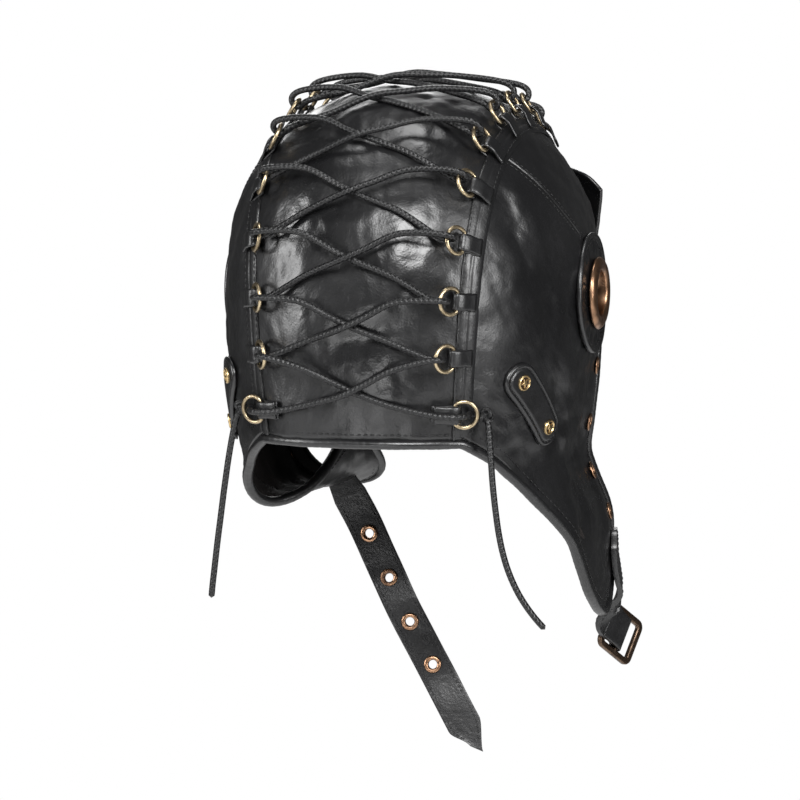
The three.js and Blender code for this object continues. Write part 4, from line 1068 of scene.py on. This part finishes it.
class HAT_OT_laces(HatOperator, bpy.types.Operator):
    """Threads the two crossing laces through the rings"""
    bl_idname = "hat.laces"
    bl_label = "Laces"

    def execute(self, context):
        for name, side in (("a", 1), ("b", -1)):
            bm = new_bm()
            tube(bm, curve_through(strand(side), 900), LACE / 2, settings(context).lace_sides)
            obj = new_piece(f"lace_strand_{name}_cord", bm, "waxed_lace")
            dress(obj, f"lace_strand_{name}")
        t = np.linspace(0, 2 * math.pi, 120, endpoint=False)[:, None]
        for name, side in SIDES:
            f = ring_frame(side, 0)
            knot = lace_end_line(name, side)[3] + f[3] * 1.2 + HITCH * (
                f[1] * (np.sin(t) + 2 * np.sin(2 * t)) + f[2] * (np.cos(t) - 2 * np.cos(2 * t))
                - f[3] * 1.1 * np.sin(3 * t))
            way = loop_ways(knot)
            wide = unit(np.cross(way, f[3] + 0.01))
            bm = new_bm()
            ring_tube(bm, knot, wide * LACE * 0.4, np.cross(wide, way) * LACE * 0.4, 10)
            add(new_piece(f"lace_hitch_{name}", bm, "waxed_lace"))
        return {"FINISHED"}


def outer_frame(side, y, drop, lift=0.0):
    """(point, back, up, out) over a side's outer face."""
    p, back, up, out = side_frame(side, np.float64(y), np.float64(drop))
    return p + out * lift, back, up, out


class HAT_OT_ears(HatOperator, bpy.types.Operator):
    """Gathers the round ear patches and sets their metal rings"""
    bl_idname = "hat.ears"
    bl_label = "Ear patches"

    def execute(self, context):
        for name, side in SIDES:
            self.patch(name, side)
            bm = new_bm()
            lathe(bm, EAR_RING_PROFILE, outer_frame(side, EAR_BACK, EAR_DROP), 96)
            obj = bevelled(new_piece(f"ear_ring_{name}_metal", bm, "aged_copper"), 0.35)
            dress(obj, f"ear_ring_{name}")
            turn = np.linspace(0, 2 * math.pi, 140)
            r = PATCH_RADIUS - PIPING * 2.3
            f = side_frame(side, EAR_BACK + r * np.cos(turn), EAR_DROP - r * np.sin(turn))
            stitches(f"ear_stitches_{name}", [sewn_row(f, PATCH_TOP + SEWN)])
        return {"FINISHED"}

    def patch(self, name, side):
        phase = np.random.default_rng(5 + side).uniform(0, 6, 3)

        def gathers(turn, r):
            near = smooth((r - EAR_RING - 0.5) / 3) * smooth((PATCH_RADIUS - PIPING - r) / 4)
            return near * sum(high * np.sin(count * turn + start)
                              for (high, count), start in zip(PATCH_GATHERS, phase))
        bm = new_bm()
        lathe(bm, curve_through(PATCH_PROFILE, 40), (np.zeros(3), *np.eye(3)), 120, gathers)
        place_on_side(bm, side, EAR_BACK, EAR_DROP)
        dress(new_piece(f"ear_patch_{name}_leather", bm, "black_leather"), f"ear_patch_{name}")


# Radius and height of the ear patch's section and of its ring's
PATCH_TOP = CLEAR + PATCH_THICKNESS
PATCH_PROFILE = ((EAR_HOLE + 1, CLEAR), (PATCH_RADIUS - PIPING, 0.0),
                 (PATCH_RADIUS, CLEAR + PIPING * 0.7),
                 (PATCH_RADIUS - PIPING * 0.7, PATCH_TOP + PIPING * 0.8),
                 (PATCH_RADIUS - PIPING * 2, PATCH_TOP), (EAR_HOLE + 1, PATCH_TOP))
PATCH_GATHERS = ((0.28, 17), (0.22, 26), (0.15, 9))
RING_BASE, BARREL_END = PATCH_TOP + 0.1, -LEATHER - 1.2
EAR_RING_PROFILE = (
    (EAR_HOLE, BARREL_END), (EAR_HOLE + EAR_BARREL_WALL, BARREL_END),
    (EAR_HOLE + EAR_BARREL_WALL, RING_BASE), (EAR_RING - 0.5, RING_BASE),
    (EAR_RING, RING_BASE + 0.6), (EAR_RING, RING_BASE + 1.2), (EAR_RING - 0.9, RING_BASE + 2.3),
    (EAR_RING - 2.2, RING_BASE + 3.1), (EAR_RING - 3.4, RING_BASE + EAR_RING_HEIGHT),
    (EAR_HOLE + 1.8, RING_BASE + 3.2), (EAR_HOLE + 0.6, RING_BASE + 2.7),
    (EAR_HOLE, RING_BASE + 2.0), (EAR_HOLE, BARREL_END))


def place_on_side(bm, side, y, drop):
    """Wraps a shape laid flat, outward +Z, onto a side."""
    a, b, lift = (np.array([v.co[:] for v in bm.verts]) / MM).T
    f = side_frame(side, y + a, drop - b)
    for v, p in zip(bm.verts, raised(f, lift) * MM):
        v.co = p
    bmesh.ops.recalc_face_normals(bm, faces=bm.faces)


def stadium_outline(u, length, width):
    """Places round a stadium at shares u of its outline, with the ways inward."""
    a = np.linspace(0, 2 * math.pi, 241)
    half = (length - width) / 2
    x = np.where(np.cos(a) >= 0, 1, -1) * half + width / 2 * np.cos(a)
    p = at_rows(even(np.stack([x, width / 2 * np.sin(a)], 1), 400), u)
    spine = np.clip(p[:, 0], -half, half)
    return p, unit(np.stack([spine - p[:, 0], -p[:, 1]], 1))


def on_tab(side, a, b):
    """(point, back, up, out) of a side at a along and b across its tab."""
    c, s = math.cos(TAB_TURN), math.sin(TAB_TURN)
    return side_frame(side, TAB_BACK + a * c - b * s, TAB_DROP - a * s - b * c)


class HAT_OT_tabs(HatOperator, bpy.types.Operator):
    """Sews on the side tabs and sets their star rivets"""
    bl_idname = "hat.tabs"
    bl_label = "Tabs and rivets"

    def execute(self, context):
        for name, side in SIDES:
            self.tab(name, side)
            q = stadium_outline(np.linspace(0, 1, 200), TAB_LENGTH - 2 * TAB_SEWN,
                                TAB_WIDTH - 2 * TAB_SEWN)[0]
            row = sewn_row(on_tab(side, q[:, 0], q[:, 1]), TAB_HEIGHT + 0.25)
            stitches(f"tab_stitches_{name}", [row], length=1.9, pitch=2.6)
            for n, way in ((1, 0.5), (2, -0.5)):
                f = on_tab(side, way * RIVET_SPACING, 0.0)
                # The rivet's second slot is dark metal as painted shade in its recess
                obj = new_piece(f"rivet_{name}_{n}_metal", rivet(f), "antique_gold", "dark_bronze_and_recess_shade")
                dress(bevelled(obj, 0.14, 2, 30), f"rivet_{name}_{n}")
        return {"FINISHED"}

    def tab(self, name, side):
        def shape(u, v):
            outline, inward = stadium_outline(u, TAB_LENGTH, TAB_WIDTH)
            inset = v ** 1.5 * TAB_WIDTH / 2
            q = outline + inward * inset[:, None]
            edge = power(1 - np.minimum(inset / 1.4, 1), 2.0)
            groove = 0.4 * np.exp(-((inset - 2.3) / 0.6) ** 2)
            return raised(on_tab(side, q[:, 0], q[:, 1]),
                          (TAB_HEIGHT + 0.5) * (0.3 + 0.7 * edge) - groove)
        bm = new_bm()
        grid(bm, 140, 24, shape, closed="u")
        along = np.linspace(-0.5, 0.5, 60) * (TAB_LENGTH - TAB_WIDTH)
        middle = on_tab(side, along, 0 * along)[0]
        spine = [v for v in bm.verts if v.is_boundary
                 and np.linalg.norm(middle - np.array(v.co) / MM, axis=1).min() < TAB_WIDTH / 4]
        bmesh.ops.remove_doubles(bm, verts=spine, dist=0.6 * MM)
        face_out(bm, lambda q: (side, 0, 0))
        obj = thicken(new_piece(f"rivet_tab_{name}_leather", bm, "black_leather"), 1.4)
        dress(obj, f"rivet_tab_{name}")


def rivet(f):
    """A low domed head with a raised star in its recess, whose floor is painted dark as shade."""
    rim, base = RIVET_RADIUS, PATCH_THICKNESS + CLEAR * 3
    bm = new_bm()
    lathe(bm, [(0.01, base - 0.6), (rim, base - 0.6), (rim, base + 0.5), (rim - 0.35, base + 1.1),
               (rim - 0.7, base + 1.15), (rim - 0.95, base + 0.45), (rim - 1.5, base + 0.4),
               (1.0, base + 0.45), (0.01, base + 0.45)], f, 40)
    # The recess floor takes the second, dark material: painted shade round the star
    for face in bm.faces:
        q = np.array(face.calc_center_median()) / MM - f[0]
        high = np.dot(q, f[3])
        if base < high < base + 0.6 and np.linalg.norm(q - f[3] * high) < rim - 0.8:
            face.material_index = 1
    star = bmesh.ops.create_circle(bm, cap_ends=True, segments=10, radius=1)["verts"]
    for i, v in enumerate(star):
        v.co *= (rim - 1.05) * (1 if i % 2 == 0 else 0.40)
    made = bmesh.ops.extrude_face_region(bm, geom=[star[0].link_faces[0]])["geom"]
    raised_star = [g for g in made if isinstance(g, bmesh.types.BMVert)]
    for v in raised_star:
        v.co = (v.co.x * 0.82, v.co.y * 0.82, v.co.z + 0.75)
    for v in star + raised_star:
        v.co = local(f, v.co.x, v.co.y, v.co.z + base + RIVET_HEIGHT - 1.55) * MM
    bmesh.ops.recalc_face_normals(bm, faces=bm.faces)
    return bm


def eyelet(base, depth, f):
    """A rolled metal eyelet with its barrel."""
    bm = new_bm()
    middle, half = (EYELET_RADIUS + EYELET_HOLE) / 2, (EYELET_RADIUS - EYELET_HOLE) / 2
    roll = [(middle + half * math.cos(a), base + math.sin(a)) for a in np.linspace(0, math.pi, 9)]
    outer = EYELET_HOLE + EYELET_WALL
    lathe(bm, roll + [(EYELET_HOLE, base), (EYELET_HOLE, -depth), (outer, -depth), (outer, base),
                      (EYELET_RADIUS, base)], f, 40)
    return bm


class HAT_OT_eyelets(HatOperator, bpy.types.Operator):
    """Sets the eyelets along the front edge of each flap"""
    bl_idname = "hat.eyelets"
    bl_label = "Flap eyelets"

    def execute(self, context):
        for name, side in SIDES:
            for i, q in enumerate(eyelet_places(), 1):
                bm = eyelet(0.15, LEATHER + EYELET_PROUD, outer_frame(side, *q))
                obj = new_piece(f"eyelet_{name}_{i}_metal", bm, "aged_copper")
                dress(obj, f"eyelet_{name}_{i}")
        return {"FINISHED"}


class HAT_OT_edges(HatOperator, bpy.types.Operator):
    """Sews the stitch lines along the rim and the side seams, and the facing inside the flaps"""
    bl_idname = "hat.edges"
    bl_label = "Edge stitching"

    def execute(self, context):
        pitch = settings(context).stitch_pitch / MM
        for name, side in SIDES:
            rows = [edge_row(side, 5.4, SEWN, 0.02, 0.99)]
            for shift in (-2.4, 2.4):
                q = side_seam(np.linspace(0.02, 0.98, 200), shift)
                q = q[np.hypot(q[:, 0] - EAR_BACK, q[:, 1] - EAR_DROP) > PATCH_RADIUS + 1]
                rows.append(sewn_row(side_frame(side, q[:, 0], q[:, 1]), SEWN))
            stitches(f"edge_stitches_{name}", rows, pitch=pitch)
            p, out = edge_row(side, 13.0, -LEATHER - 1.0, 0.05, 0.97)
            stitches(f"facing_stitches_{name}", [(p, -out)], pitch=pitch)

            def facing(u, v):
                t = lerp(0.03, 0.99, u)
                q = lerp(edge_at(t, 1.0), edge_at(t, 15.0), v[:, None])
                padded = smooth((1 - v) * 6) * smooth(v * 8 + 0.5)
                return raised(side_frame(side, q[:, 0], q[:, 1]), -LEATHER - 0.15 - 0.7 * padded)
            bm = new_bm()
            grid(bm, 220, 10, facing)
            face_out(bm, lambda q: (-side, 0, 0))
            add(new_piece(f"edge_facing_{name}", bm, "leather_lining"))
        v = np.linspace(-0.9, 0.9, 200)
        rows = [crown_row(v * seam_half(u), crown_turn(v * seam_half(u), u, 4.6), 0.15)
                for u in (1.0, 0.0)]
        stitches("nape_stitches", rows, pitch=pitch)
        return {"FINISHED"}


class HAT_OT_brow(HatOperator, bpy.types.Operator):
    """Turns up the brow flap"""
    bl_idname = "hat.brow"
    bl_label = "Brow flap"

    def execute(self, context):
        def flap(u, v, lift):
            """Places on the flap, raised, with their outward ways."""
            b = u * 2 - 1
            x = b * PEAK_HALF_WIDTH
            drop = BROW_DROP + 1 - PEAK_HEIGHT * v * (1 - 0.3 * b ** 8)
            p = stack(x, reach_at(x, drop, False), LEATHER - drop)
            n = form_normal(p)
            off = LEATHER + 2.4 + PEAK_LIFT * v * (1 + b ** 4) + LEATHER / 2 + lift(p)
            return p + n * off[:, None], n
        bm = new_bm()
        grid(bm, 90, 30, lambda u, v: flap(u, v, lambda p: rumple(p, 0.05, 0.5))[0])
        face_out(bm, lambda q: (q.x, -1, 0))
        obj = thicken(new_piece("brow_flap_leather", bm, "black_leather"))
        dress(bevelled(obj, 0.7), "brow_flap")
        u = np.concatenate([np.full(80, 0.035), np.linspace(0.035, 0.965, 220),
                            np.full(80, 0.965)])
        v = np.concatenate([np.linspace(0.1, 0.9, 80), np.full(220, 0.9),
                            np.linspace(0.9, 0.1, 80)])
        stitches("brow_stitches", [flap(u, v, lambda p: SEWN)])
        return {"FINISHED"}


# Straps
STRAP_LIFT = CLEAR * 2 + STRAP_THICKNESS / 2
BARS = unit(np.array([0.21, 0.51, -0.83]))
RISE = np.array([0.40, 0.73, 0.55])
RISE = unit(RISE - BARS * np.dot(RISE, BARS))
SHOWN = unit(np.cross(RISE, BARS))
BUCKLE = (BUCKLE_AT, RISE, BARS, SHOWN)
TAIL_LOW = BAR_THICKNESS / 2 + CLEAR
TAIL_MIDDLE = TAIL_LOW + FOLD_WALL
FOLD_TAIL = BUCKLE_LENGTH / 2 + 1
FOLD_WIDTH = BUCKLE_WIDTH - 2 * BUCKLE_BAR - 2 * CLEAR
FOLD_THICKNESS = 2 * FOLD_WALL - 0.4
EDGE_LIFT = BINDING_THICKNESS / 2 - LEATHER / 2 + CLEAR + STRAP_THICKNESS / 2 + 0.2
STRAP_SEWN = 0.12

# A strap's rows: a place, then the way its outer face looks
CHIN_ROWS = np.array([
    (53, -49, -196, -0.2, 0.95, 0), (47.5, -49, -205.5, -0.2, 0.95, 0),
    (40, -49, -219, -0.2, 0.95, 0), (30, -49, -240, -0.22, 0.96, 0.03),
    (18.5, -47, -262, -0.3, 0.95, -0.05), (7.5, -49, -283, -0.32, 0.94, -0.08),
    (-17, -46, -325.5, -0.28, 0.95, 0.05)], float)


def on_flap(y, drop, lift):
    f = outer_frame(-1, y, drop, lift)
    return (*f[0], *f[3])


def buckle_rows():
    return np.array([(*local(BUCKLE, FOLD_TAIL - 4, 0, TAIL_MIDDLE), *SHOWN),
                     (*local(BUCKLE, FOLD_TAIL + 1, 0, TAIL_MIDDLE + 0.2), *SHOWN),
                     on_flap(-54, 249, EDGE_LIFT + 1), on_flap(-51, 241, EDGE_LIFT),
                     on_flap(-48, 233, STRAP_LIFT + 0.4), on_flap(-45, 218, STRAP_LIFT)])


class Ribbon:
    """A strap's line with its ways along, across and outward."""

    def __init__(self, rows, count=300):
        line = curve_through(np.concatenate([rows[:, :3], rows[:, 3:] * 0.01], axis=1), count)
        self.p = line[:, :3]
        self.along = tangents(self.p)
        self.wide = unit(np.cross(self.along, unit(line[:, 3:])))
        self.out = unit(np.cross(self.wide, self.along))
        self.length = float(steps_of(self.p).sum())

    def at(self, t, across, on, lift):
        """Places at shares t of the length, moved across, along and outward."""
        p, wide, along, out = (at_rows(rows, t)
                               for rows in (self.p, self.wide, self.along, self.out))
        return (p + wide * np.asarray(across)[..., None] + along * np.asarray(on)[..., None]
                + out * np.asarray(lift)[..., None])

    def frame(self, t):
        p, wide, along, out = (at_rows(rows, np.array([t]))[0]
                               for rows in (self.p, self.wide, self.along, self.out))
        return p, unit(wide), -unit(along), unit(out)


def strap_mesh(name, ribbon, steps, width, thick, holes=(), wave=0.0):
    """A padded strap with soft edges and round holes through it."""
    def face(u, v):
        b = v - 0.5
        across, on = width(u, b)
        ripple = wave * np.sin(u * ribbon.length * 0.21) * np.cos(b * 2)
        return ribbon.at(u, across, on, thick / 2 + ripple)
    bm = new_bm()
    grid(bm, steps, 18, face)
    cut_holes(bm, [(ribbon.frame(t), EYELET_HOLE) for t in holes], depth=3.0)
    bm.normal_update()
    middle, _, _, out = ribbon.frame(0.5)
    near = [f for f in bm.faces
            if np.linalg.norm(np.array(f.calc_center_median()) / MM - middle) < 12]
    if sum(f.normal.dot(Vector(out)) for f in near) < 0:
        bmesh.ops.reverse_faces(bm, faces=bm.faces)
    return bevelled(thicken(new_piece(name, bm, "black_leather"), thick), 0.6, 3, 50)


def sew_strap(name, ribbon, u, width, inset, lift, faces):
    """Sews both edges of a strap, on its faces 1 and -1 or one of them."""
    rows = []
    for b in (-0.5, 0.5):
        across, on = width(u, b, inset)
        rows += [(ribbon.at(u, across, on, face * lift), at_rows(ribbon.out, u) * face)
                 for face in faces]
    stitches(name, rows, length=1.9, pitch=2.7)


class HAT_OT_chin_strap(HatOperator, bpy.types.Operator):
    """Hangs the chin strap with its stitched edges and eyelets"""
    bl_idname = "hat.chin_strap"
    bl_label = "Chin strap"

    def execute(self, context):
        def width(u, b, inset=0.0):
            root = np.minimum(1, 0.8 + u * 3)
            end = smooth((u - 0.93) / 0.07)
            across = STRAP_WIDTH * b * root * lerp(1, 0.25, end) * (1 - inset * 2 / STRAP_WIDTH)
            return across, end * CHIN_POINT * (0.3 - b * 0.5) * (1 - inset / 12)
        ribbon = Ribbon(CHIN_ROWS)
        holes = [1 - (LAST_EYELET + i * STRAP_EYELET_PITCH) / ribbon.length
                 for i in range(STRAP_EYELETS)]
        dress(strap_mesh("chin_strap_leather", ribbon, 150, width, STRAP_THICKNESS, holes, 0.25),
              "chin_strap")
        sew_strap("chin_strap_stitches", ribbon, np.linspace(0.04, 0.975, 260), width, 2.0,
                  STRAP_THICKNESS / 2 + STRAP_SEWN, (1, -1))
        for i, t in enumerate(holes):
            bm = eyelet(STRAP_THICKNESS / 2 + 0.1, STRAP_THICKNESS / 2 + EYELET_PROUD,
                        ribbon.frame(t))
            obj = new_piece(f"strap_eyelet_{STRAP_EYELETS - i}_metal", bm, "aged_copper")
            dress(obj, f"strap_eyelet_{STRAP_EYELETS - i}")
        return {"FINISHED"}


class HAT_OT_buckle_strap(HatOperator, bpy.types.Operator):
    """Stitches the buckle strap to the right flap and folds it round the middle bar"""
    bl_idname = "hat.buckle_strap"
    bl_label = "Buckle strap"

    def execute(self, context):
        def width(u, b, inset=0.0):
            end = 1 - 0.72 * smooth((u - 0.84) / 0.16)
            wide = np.minimum(FOLD_WIDTH, STRAP_WIDTH)
            return wide * b * end * (1 - inset * 2 / STRAP_WIDTH), 0 * u
        ribbon = Ribbon(buckle_rows())
        dress(strap_mesh("buckle_strap_leather", ribbon, 90, width, FOLD_THICKNESS),
              "buckle_strap")
        sew_strap("buckle_strap_stitches", ribbon, np.linspace(0.06, 0.97, 160), width, 1.9,
                  FOLD_THICKNESS / 2 + STRAP_SEWN, (1,))
        self.fold()
        return {"FINISHED"}

    def fold(self):
        round_bar, tail = MIDDLE_BAR + CLEAR + FOLD_WALL, FOLD_TAIL + 0.5
        neck, high = BUCKLE_LENGTH * 0.27, TAIL_LOW + 2 * FOLD_WALL
        line = curve_through(
            [(tail, high - 0.2), (neck, high)]
            + [(round_bar * math.cos(a), round_bar * math.sin(a))
               for a in np.linspace(math.pi * 0.55, math.pi * 1.75, 24)]
            + [(neck, TAIL_LOW), (tail, TAIL_LOW)], 60)

        def shape(u, v):
            x, z = at_rows(line, u).T
            return local(BUCKLE, x, (v - 0.5) * FOLD_WIDTH, z)
        bm = new_bm()
        grid(bm, 60, 10, shape)
        face_out(bm, lambda q: np.array(q) / MM - local(BUCKLE, 6, 0, 2))
        obj = thicken(new_piece("buckle_strap_fold", bm, "black_leather"), FOLD_WALL - 0.1)
        add(bevelled(obj, 0.3, 2))


class HAT_OT_buckle(HatOperator, bpy.types.Operator):
    """Casts the buckle frame with its three bars"""
    bl_idname = "hat.buckle"
    bl_label = "Buckle frame"

    def execute(self, context):
        corner = 2.6
        hx, hy = ((size - BUCKLE_BAR) / 2 - corner for size in (BUCKLE_LENGTH, BUCKLE_WIDTH))
        turns = [(sx, sy, (i + part) * math.pi / 2)
                 for i, (sx, sy) in enumerate(((1, 1), (-1, 1), (-1, -1), (1, -1)))
                 for part in np.linspace(0, 1, 10)]
        sx, sy, a = np.array(turns + turns[:1]).T
        middle = np.stack([sx * hx + corner * np.cos(a), sy * hy + corner * np.sin(a)], 1)
        away = np.stack([np.cos(a), np.sin(a)], 1)
        square = np.array([(1, -0.7), (1, 0.7), (0.75, 1), (-0.75, 1), (-1, 0.7), (-1, -0.7),
                           (-0.75, -1), (0.75, -1), (1, -0.7)])

        def rail(u, v):
            across, high = at_rows(square, v).T
            x, y = (at_rows(middle, u) + at_rows(away, u) * (across * BUCKLE_BAR / 2)[:, None]).T
            return local(BUCKLE, x, y, high * BAR_THICKNESS / 2)
        bm = new_bm()
        grid(bm, len(turns), 8, rail, closed="uv")
        bmesh.ops.create_cone(bm, cap_ends=True, segments=24, radius1=MIDDLE_BAR * MM,
                              radius2=MIDDLE_BAR * MM, depth=(BUCKLE_WIDTH - BUCKLE_BAR) * MM,
                              matrix=basis(BUCKLE_AT, SHOWN, RISE, BARS))
        obj = bevelled(new_piece("buckle_frame_metal", bm, "dark_bronze_and_recess_shade"), 0.3, 3, 30)
        dress(obj, "buckle_frame", "buckle")
        return {"FINISHED"}


class HAT_OT_stage(HatOperator, bpy.types.Operator):
    """Lays the pale ground and sets the soft lights"""
    bl_idname = "hat.stage"
    bl_label = "Stage"

    def execute(self, context):
        scene = context.scene
        shader("pale_ground", tuple(settings(context).ground_color), 0.9)
        bm = bmesh.new()
        bmesh.ops.create_grid(bm, x_segments=2, y_segments=2, size=GROUND_HALF,
                              matrix=Matrix.Translation((0, 0, GROUND_HEIGHT)))
        for name, spot, size, watts in LIGHTS:
            data = bpy.data.lights.new(name, "AREA")
            data.shape, data.size, data.size_y, data.energy = "RECTANGLE", *size, watts
            lamp = bpy.data.objects.new(name, data)
            lamp.location = spot
            lamp.rotation_euler = (LIGHTS_AIM - lamp.location).to_track_quat("-Z", "Y").to_euler()
            scene.collection.objects.link(lamp)
        new_piece("ground", bm, "pale_ground")
        scene.world = bpy.data.worlds.new("Soft white")
        scene.world.use_nodes = True
        tree = scene.world.node_tree
        back = tree.nodes["Background"].inputs
        back["Color"].default_value = (1, 1, 1, 1)
        seen = node(tree, "ShaderNodeLightPath").outputs["Is Camera Ray"]
        wires(tree, (ranged(tree, seen, to_low=WORLD_LIGHT), back["Strength"]))
        scene.view_settings.view_transform = "Standard"
        return {"FINISHED"}


STEPS = (HAT_OT_camera, HAT_OT_lace_ends, HAT_OT_panels, HAT_OT_binding, HAT_OT_welts, HAT_OT_rings,
         HAT_OT_laces, HAT_OT_ears, HAT_OT_tabs, HAT_OT_eyelets, HAT_OT_edges, HAT_OT_brow,
         HAT_OT_chin_strap, HAT_OT_buckle_strap, HAT_OT_buckle, HAT_OT_stage)


class HAT_PT_panel(bpy.types.Panel):
    """Lists the steps that build the hat"""
    bl_idname = "HAT_PT_panel"
    bl_label = "Aviator hat"
    bl_space_type = "VIEW_3D"
    bl_region_type = "UI"
    bl_category = "Hat"

    def draw(self, context):
        for step in STEPS:
            self.layout.operator(step.bl_idname)
        for name in HatSettings.__annotations__:
            self.layout.prop(settings(context), name)


def register():
    for cls in (HatSettings, *STEPS, HAT_PT_panel):
        bpy.utils.register_class(cls)
    bpy.types.Scene.aviator_hat = PointerProperty(type=HatSettings)


def unregister():
    del bpy.types.Scene.aviator_hat
    for cls in (HAT_PT_panel, *reversed(STEPS), HatSettings):
        bpy.utils.unregister_class(cls)


def main():
    register()
    for step in STEPS:
        getattr(bpy.ops.hat, step.bl_idname.split(".")[1])()
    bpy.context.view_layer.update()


if __name__ == "__main__":
    main()
